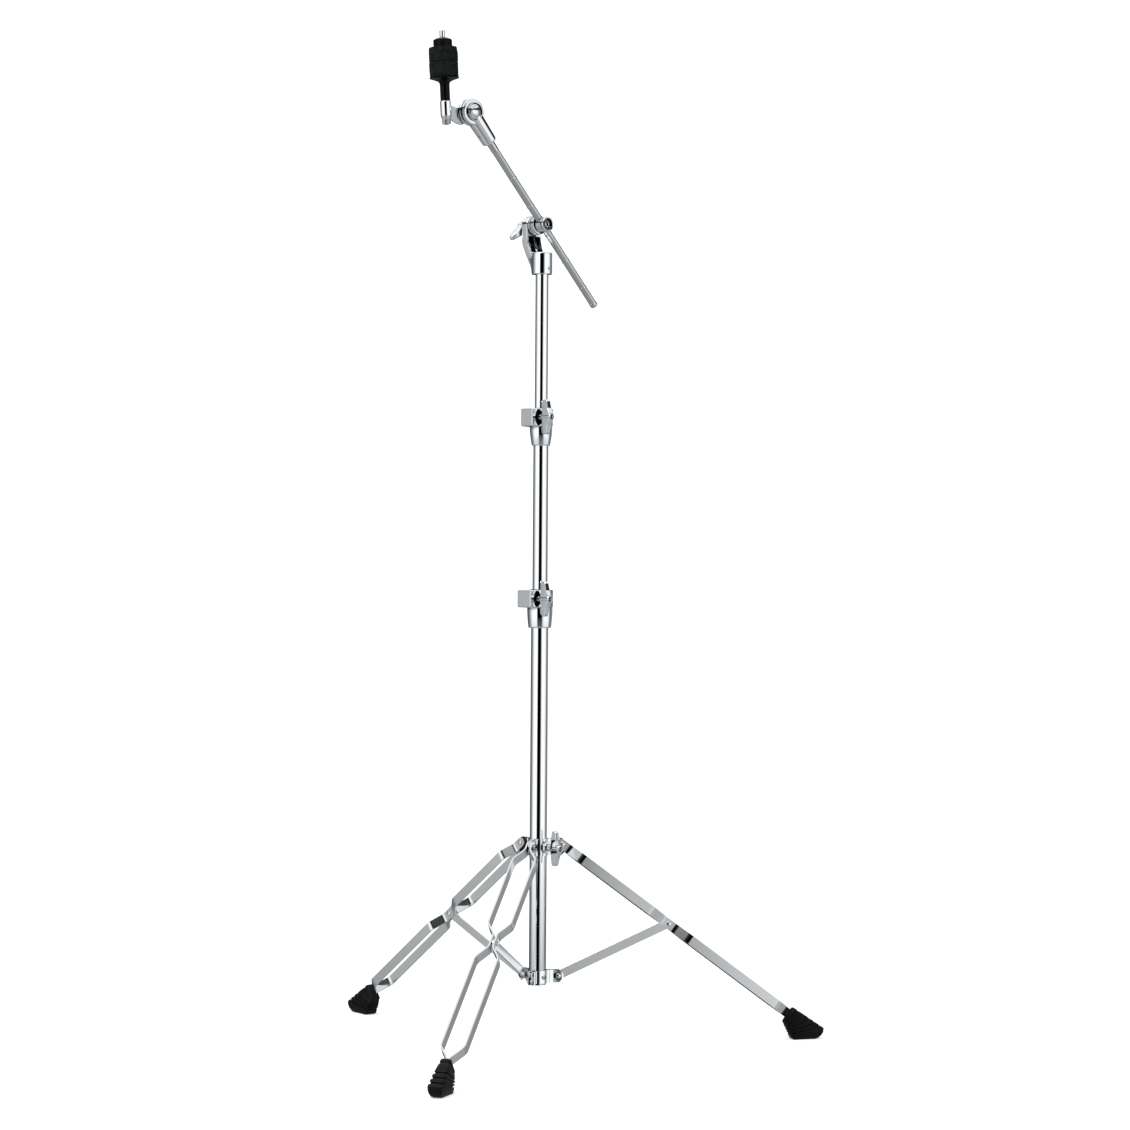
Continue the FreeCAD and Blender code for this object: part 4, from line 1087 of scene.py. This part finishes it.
def boom_rod_piece():
    """A rod fluted in sections, with a smooth ring between each and a smooth end in the socket."""
    def flutes(angle, reach, height):
        wave = abs(sin(angle * FLUTES / 2))
        return reach - FLUTE_DEEP * (1 - wave) if reach < ROD_RAD - 0.1 * MM else reach

    profile = [(ROD_RAD, ROD_HIGH), (ROD_RAD, SMOOTH_FROM)]
    ring = SMOOTH_FROM
    while ring > ROD_LOW + 8 * MM:
        after = max(ring - FLUTE_SECTION, ROD_LOW)
        profile += [(ROD_RAD, ring - 0.01 * MM), (FLUTE_ROOT, ring - 0.7 * MM),
                    (FLUTE_ROOT, after + 3.4 * MM), (ROD_RAD, after + 2.8 * MM)]
        ring = after
    profile.append((ROD_RAD, ROD_LOW))
    mesh = lathe(list(reversed(profile)), around=FLUTES * 16, shape=flutes)
    piece("boom_rod_fluted", mesh, BOOM_PLACE, "boom_rod")


def end_cap_piece():
    low = -156 * MM
    profile = mm((0, 0), (3.6, 0), (4.6, 0.3), (5.4, 1.2), (5.75, 2), (5.75, 4.6), (5.3, 5), (0, 5),
                 base=low)
    piece("boom_rod_cap", lathe(profile, around=64), BOOM_PLACE, "boom_end_cap")


# ---- tilter

SOCKET_LOW = -54 * MM
SOCKET_PIN = -37 * MM
DISC_RAD = 19
DOME_RAD = 19 * MM
DOME_TOP = 14.3 * MM
WEB_LEAN = 0.33


def dome_point(radius, drop=0.0):
    """A profile point on the shallow dome over the tilter's bolt, or a little below it."""
    radius *= MM
    return radius, DOME_TOP - DOME_RAD + sqrt(DOME_RAD ** 2 - radius ** 2) - drop * MM


def tilter_bore():
    return moved(cylinder(3.56 * MM, -20 * MM, 20 * MM, around=40), TO_X)


def tilter_socket_piece():
    """The tapered socket on the rod's end, with its round clamping disc and bolt boss."""
    cone = mm((0, 0), (8.9, 0), (10.1, 0.5), (10.8, 1.7), (10.95, 3.4), base=SOCKET_LOW)
    cone += mm((12.3, -8), (11.4, -5), (0, -5))
    disc = mm((0, 0.95), (16, 0.95), (16.2, 2.0), (18.4, 2.4), (DISC_RAD, 3.1), (DISC_RAD, 6.0),
              (18.6, 7.2), (17.6, 7.9), (16.8, 8), (0, 8))
    boss = mm((0, 6), (13, 6), (13, 10.9), (12.7, 11.7), (12.4, 11.9), (12.1, 11.5), (12.0, 9.9),
              (11.7, 9.9))
    boss += [dome_point(radius) for radius in (11.6, 10.8, 10, 9.2, 8.4)]
    boss += [(8.15 * MM, dome_point(8.4, drop=0.3)[1])] + mm((8.1, 11), (0, 11))
    swing = mm((0, -30), (19.3, -30), (19.3, 0.95), (0, 0.95))
    pin_hole = lathe(mm((1.8, 2), (1.8, 10.6), (2.3, 11.2), (2.3, 14)), around=32)
    disc, boss, swing = (moved(lathe(part, around=96), TO_X) for part in (disc, boss, swing))
    mesh = joined([lathe(cone, around=96), disc, boss],
                  [swing, tilter_bore(), cylinder(ROD_HOLE, SOCKET_LOW - 5 * MM, -20 * MM),
                   moved(pin_hole, shift(0, 0, SOCKET_PIN) @ TO_BACK_Y)])
    piece("tilter_socket_casting", mesh, TILTER_PLACE, "tilter_socket")


def tilter_holder_piece():
    """A disc, a web that sweeps down and out from it, and the upright barrel for the cymbal rod."""
    disc = mm((0, 0.65), (16, 0.65), (16.2, -0.5), (18.4, -0.9), (DISC_RAD, -1.6), (DISC_RAD, -4.4),
              (18.5, -5.6), (17.2, -6.4), (16, -6.5), (0, -6.5))
    outline = mm((-42, -11.8), (-30, -13.6), (-19, -18), (-6, -18.6), (-2, -10), (-2, 8), (-14, 6.4),
                 (-25, 4.6), (-36, 6.4), (-42, 7))
    web = rounded(extrude(rounded_corners(outline, 8 * MM, 5), -10.5 * MM, 0.2 * MM), 1.5 * MM, 3)
    for vertex in web.vertices:
        if vertex.co.z > -5 * MM:
            vertex.co.z -= (7 * MM - vertex.co.y) * WEB_LEAN
    barrel = mm((0, -14), (5.6, -14), (6.4, -13.4), (7.1, -10.8), (7.6, -9.8), (7.8, -9), (7.8, 11.1),
                (7.5, 11.8), (6.9, 12), (0, 12))
    upright = HEAD_PLACE.inverted() @ CYMBAL_PLACE
    mesh = joined([moved(lathe(barrel, around=80), upright), moved(web, SIDEWAYS),
                   moved(lathe(disc, around=96), TO_X)],
                  [moved(cylinder(4.02 * MM, -30 * MM, 30 * MM), upright), tilter_bore()])
    piece("tilter_holder_casting", mesh, HEAD_PLACE, "tilter_holder")


def tilter_bolt_piece():
    """The bolt through both discs: a domed head outside, a six-sided nut inside."""
    profile = mm((0, -12.4), (2.9, -12.4), (3.5, -11.9), (3.5, 11.1), (3.4, 11.1), (7.8, 11.1), (8, 11.4))
    profile.append(dome_point(8, drop=0.2))
    profile += [dome_point(radius) for radius in (7.8, 6.8, 5.6, 4.2, 2.8, 1.4, 0)]
    fixing = nut(8 * MM, 3.4 * MM, -11.6 * MM, -8.95 * MM)
    mesh = joined([lathe(profile, around=64), fixing])
    piece("tilter_bolt_head", moved(mesh, TO_X), HEAD_PLACE, "tilter_bolt")


# ---- cymbal rod, felts and nut

FELT_RAD = 21.5 * MM
FELT_BORE = 5.5 * MM
FELT_EDGE = 1.3 * MM
FELT_ROWS = 18


def cymbal_rod_piece():
    tip, groove = 112.5 * MM, 101.8 * MM
    profile = mm((0, -22), (3.3, -22), (4, -21.3))
    profile += mm((4, -0.3), (3.6, -0.25), (3.6, 0.25), (4, 0.3), base=groove)
    profile += mm((4, -0.8), (3.7, -0.3), (3.1, 0), (0, 0), base=tip)
    piece("cymbal_rod_bar", lathe(profile, around=56), CYMBAL_PLACE, "cymbal_rod")
    piece("cymbal_rod_lock_nut", nut(6.5 * MM, 3.95 * MM, -20.9 * MM, -14 * MM), CYMBAL_PLACE,
          "cymbal_rod_nut")


def cymbal_seat_piece():
    """The moulded seat: a stem that flares into a cup, and the sleeve the cymbal turns on."""
    profile = mm((4.05, 12), (6.5, 12), (7, 12.5), (7, 34.5), (7.15, 36.2), (7.7, 37.8), (9, 39.2),
                 (11.4, 40.5), (15, 41.9), (18.6, 43.1), (20.9, 43.9), (21.5, 44.5), (21.4, 45.2),
                 (20.9, 45.6), (20, 45.5), (14, 45.1), (5.2, 45), (5.2, 83.6), (4.9, 84), (4.05, 84),
                 (4.05, 12))
    piece("cymbal_seat_moulding", lathe(profile, around=96), CYMBAL_PLACE, "cymbal_seat")


def felt_mesh(low, high, seed, lean):
    """A thick felt ring with an uneven, fuzzy side that leans out towards one end."""
    shift = Vector((seed, seed * 2.7, 0))
    across = (FELT_BORE, FELT_BORE + 4 * MM, FELT_BORE + 9 * MM)
    profile = [(radius, low) for radius in across] + lower_rim(FELT_RAD, low, FELT_EDGE)
    for step in range(1, FELT_ROWS):
        profile.append((FELT_RAD, low + FELT_EDGE + (high - low - 2 * FELT_EDGE) * step / FELT_ROWS))
    profile += upper_rim(FELT_RAD, high, FELT_EDGE) + [(radius, high) for radius in reversed(across)]
    profile.append(profile[0])

    def uneven(angle, radius, height):
        if radius < FELT_RAD - 3 * MM:
            return radius
        around = Vector((cos(angle), sin(angle), 0))
        swell = noise.noise(around * 1.6 + UP * height * 60 + shift) * 0.75 * MM
        fuzz = noise.noise(around * 26 + UP * height * 1400 + shift) * 0.42 * MM
        share = (height - low) / (high - low)
        return radius - 0.95 * MM + swell + fuzz + lean * (share - 0.5) * MM

    return lathe(profile, around=240, shape=uneven)


def felt_pieces():
    for name, low, high, seed, lean in (("lower_felt", 45.6, 67, 3.1, 0.5),
                                        ("upper_felt", 67.3, 88.4, 7.7, -0.5)):
        washer = piece(f"{name}_washer", felt_mesh(low * MM, high * MM, seed, lean), CYMBAL_PLACE, name)


def cymbal_nut_piece():
    """A moulded nut with finger flutes and a low cone on top."""
    profile = mm((4.05, 88.7), (12.6, 88.7), (13.4, 89.1), (13.5, 89.8), (13.5, 98.2), (13.3, 98.9),
                 (12.7, 99.4), (10, 100.6), (8, 101.4), (7.2, 101.7), (4.05, 101.7), (4.05, 88.7))

    def flutes(angle, radius, height):
        return radius - (0.75 * MM * max(0, cos(angle * 10)) ** 0.6 if radius > 12.4 * MM else 0)

    piece("cymbal_nut_moulding", lathe(profile, around=160, shape=flutes), CYMBAL_PLACE, "cymbal_nut")


# ---- small fixings

def set_screw(name, node, radius, socket, place):
    """A headless screw along Z, whose outer end at 0 holds a six-sided socket; its sizes are in mm."""
    profile = mm((0, -3), (radius - 0.3, -3), (radius, -2.7), (radius, -0.3), (radius - 0.3, 0), (0, 0))
    hexagon = arc(socket * MM, 6, 0, TAU)[:-1]
    mesh = joined([lathe(profile, around=32)], [extrude(hexagon, -1.5 * MM, MM)])
    piece(name, mesh, place, node)


def small_fixings():
    for name in ("lower", "upper"):
        spot = shift(0, CLAMPS[name]["low_rad"], bottom(f"{name}_clamp_body") + PIN_RISE)
        set_screw(f"{name}_clamp_grub", f"{name}_clamp_pin", 1.75, 1.0, CLAMP_PLACE @ spot @ TO_Y)
    spot = shift(14.4 * MM, 0, centre("boom_bracket_pin").z)
    set_screw("boom_bracket_grub", "boom_bracket_pin", 2.15, 1.2, CLAMP_PLACE @ spot @ TO_X)
    spot = shift(0, -10.3 * MM, SOCKET_PIN)
    set_screw("tilter_socket_grub", "tilter_socket_pin", 1.75, 1.0, TILTER_PLACE @ spot @ TO_BACK_Y)
    hex_nut = moved(nut(8 * MM, 3.1 * MM, 15 * MM, 22 * MM), TO_X)
    piece("leg_collar_hex_nut", hex_nut, joint_axes("collar_wing_turn"), "leg_collar_nut")


tube_pieces()
plug_piece()
for leg in (1, 2, 3):
    leg_pieces(leg)
    brace_piece(leg)
    foot_piece(leg)
plate_pieces("brace_hub")
plate_pieces("leg_collar")
hub_screws()
wing_pieces()
for clamp in CLAMPS:
    clamp_piece(clamp)
    bushing_piece(clamp)
bracket_piece()
tilt_disc_piece()
rod_seat_piece()
eye_bolt_piece()
boom_wing_piece()
boom_rod_piece()
end_cap_piece()
tilter_socket_piece()
tilter_holder_piece()
tilter_bolt_piece()
cymbal_rod_piece()
cymbal_seat_piece()
felt_pieces()
cymbal_nut_piece()
small_fixings()
for node_name, node in frame["nodes"].items():
    dress(node, SLOT_OF[node_name])


# ---- camera, floor and light

VIEW_TURN = radians(17.6)
RIGHT = Vector((cos(VIEW_TURN), sin(VIEW_TURN), 0))
FRONT = Vector((RIGHT.y, -RIGHT.x, 0))
CAMERA_DISTANCE = 4.305
CAMERA_ASIDE = 0.0367
CAMERA_HEIGHT = 0.7329
CAMERA_TILT = radians(-0.286)
CAMERA_ROLL = radians(0.388)
CAMERA_LENS = 92.97
# how bright the studio is at each bearing from its front, in degrees towards the right
STUDIO_STOPS = (
    (-180, 0.03), (-150, 0.05), (-125, 0.12), (-110, 0.22), (-96, 0.40), (-78, 0.85), (-62, 1.0),
    (-27, 1.0), (-20, 0.0), (19, 0.0), (23, 0.30), (28, 0.5), (38, 1.0), (62, 1.0), (78, 0.9),
    (92, 0.8), (100, 0.40), (112, 0.16), (122, 0.12), (132, 0.24), (150, 0.26), (160, 0.06), (180, 0.03),
)
# what covers those bearings low down and high up: its brightness, between which heights, and how much
STUDIO_LAYERS = ((0.30, -0.16, -0.34, 0.8), (0.015, 0.24, 0.30, 1.0), (0.82, 0.46, 0.54, 1.0))
STUDIO_STRENGTH = 1.2


def camera():
    data = bpy.data.cameras.new("camera")
    data.sensor_width = 36
    data.lens = CAMERA_LENS
    eye = link("camera", data)
    place = MAST + RIGHT * CAMERA_ASIDE + FRONT * CAMERA_DISTANCE + UP * CAMERA_HEIGHT
    look = (-FRONT * cos(CAMERA_TILT) + UP * sin(CAMERA_TILT)).normalized()
    eye.matrix_world = axes(place, RIGHT, -look) @ Matrix.Rotation(CAMERA_ROLL, 4, "Z")
    scene.camera = eye


def floor():
    bm = bmesh.new()
    bmesh.ops.create_grid(bm, x_segments=1, y_segments=1, size=30)
    mesh = bpy.data.meshes.new("floor")
    bm.to_mesh(mesh)
    bm.free()
    obj = link("floor", mesh)
    paint = material("studio_floor", grey(0.9), roughness=0.8, Emission_Color=(*WHITE, 1),
                     Emission_Strength=0.45)
    vary(paint, "Base Color", 0.88, 0.92, 2, 2)
    obj.data.materials.append(paint)
    obj.visible_glossy = False


def cover(tree, below, share, colour):
    """Lay a colour over another by a share."""
    mix = tree.nodes.new("ShaderNodeMix")
    mix.data_type = "RGBA"
    mix.inputs["B"].default_value = (*colour, 1)
    tree.links.new(share, mix.inputs["Factor"])
    tree.links.new(below, mix.inputs["A"])
    return mix.outputs["Result"]


def studio():
    """A white studio: wide soft boxes at the sides, a dark gap in front and dark drapes behind."""
    world = bpy.data.worlds.new("studio")
    scene.world = world
    world.use_nodes = True
    tree = world.node_tree
    place = add(tree, "TexCoord")

    def along(way):
        dot = tree.nodes.new("ShaderNodeVectorMath")
        dot.operation = "DOT_PRODUCT"
        dot.inputs[1].default_value = way
        tree.links.new(place.outputs["Generated"], dot.inputs[0])
        return dot.outputs["Value"]

    bearing = tree.nodes.new("ShaderNodeMath")
    bearing.operation = "ARCTAN2"
    tree.links.new(along(RIGHT), bearing.inputs[0])
    tree.links.new(along(FRONT), bearing.inputs[1])
    share = add(tree, "MapRange", From_Min=-pi, From_Max=pi)
    tree.links.new(bearing.outputs[0], share.inputs["Value"])
    bands = add(tree, "ValToRGB")
    tree.links.new(share.outputs["Result"], bands.inputs["Fac"])
    elements = bands.color_ramp.elements
    elements[0].color = (*grey(STUDIO_STOPS[0][1]), 1)
    elements[1].color = (*grey(STUDIO_STOPS[-1][1]), 1)
    for degrees, value in STUDIO_STOPS[1:-1]:
        elements.new((degrees + 180) / 360).color = (*grey(value), 1)
    upward = along(UP)
    seen = bands.outputs["Color"]
    for value, start, end, most in STUDIO_LAYERS:
        height = add(tree, "MapRange", From_Min=start, From_Max=end, To_Max=most)
        tree.links.new(upward, height.inputs["Value"])
        seen = cover(tree, seen, height.outputs["Result"], grey(value))
    seen = cover(tree, seen, add(tree, "LightPath").outputs["Is Camera Ray"], WHITE)
    background = tree.nodes["Background"]
    background.inputs["Strength"].default_value = STUDIO_STRENGTH
    tree.links.new(seen, background.inputs["Color"])


def soft_key():
    key = bpy.data.lights.new("soft_key", "AREA")
    key.shape = "RECTANGLE"
    key.size, key.size_y = 2.4, 1.6
    key.energy = 35
    spot = MAST + FRONT * 1.6 + RIGHT * -1.2 + UP * 3.2
    link("soft_key", key).matrix_world = axes(spot, RIGHT, spot - (MAST + UP * 0.7))


camera()
floor()
studio()
soft_key()
scene.view_settings.view_transform = "Standard"
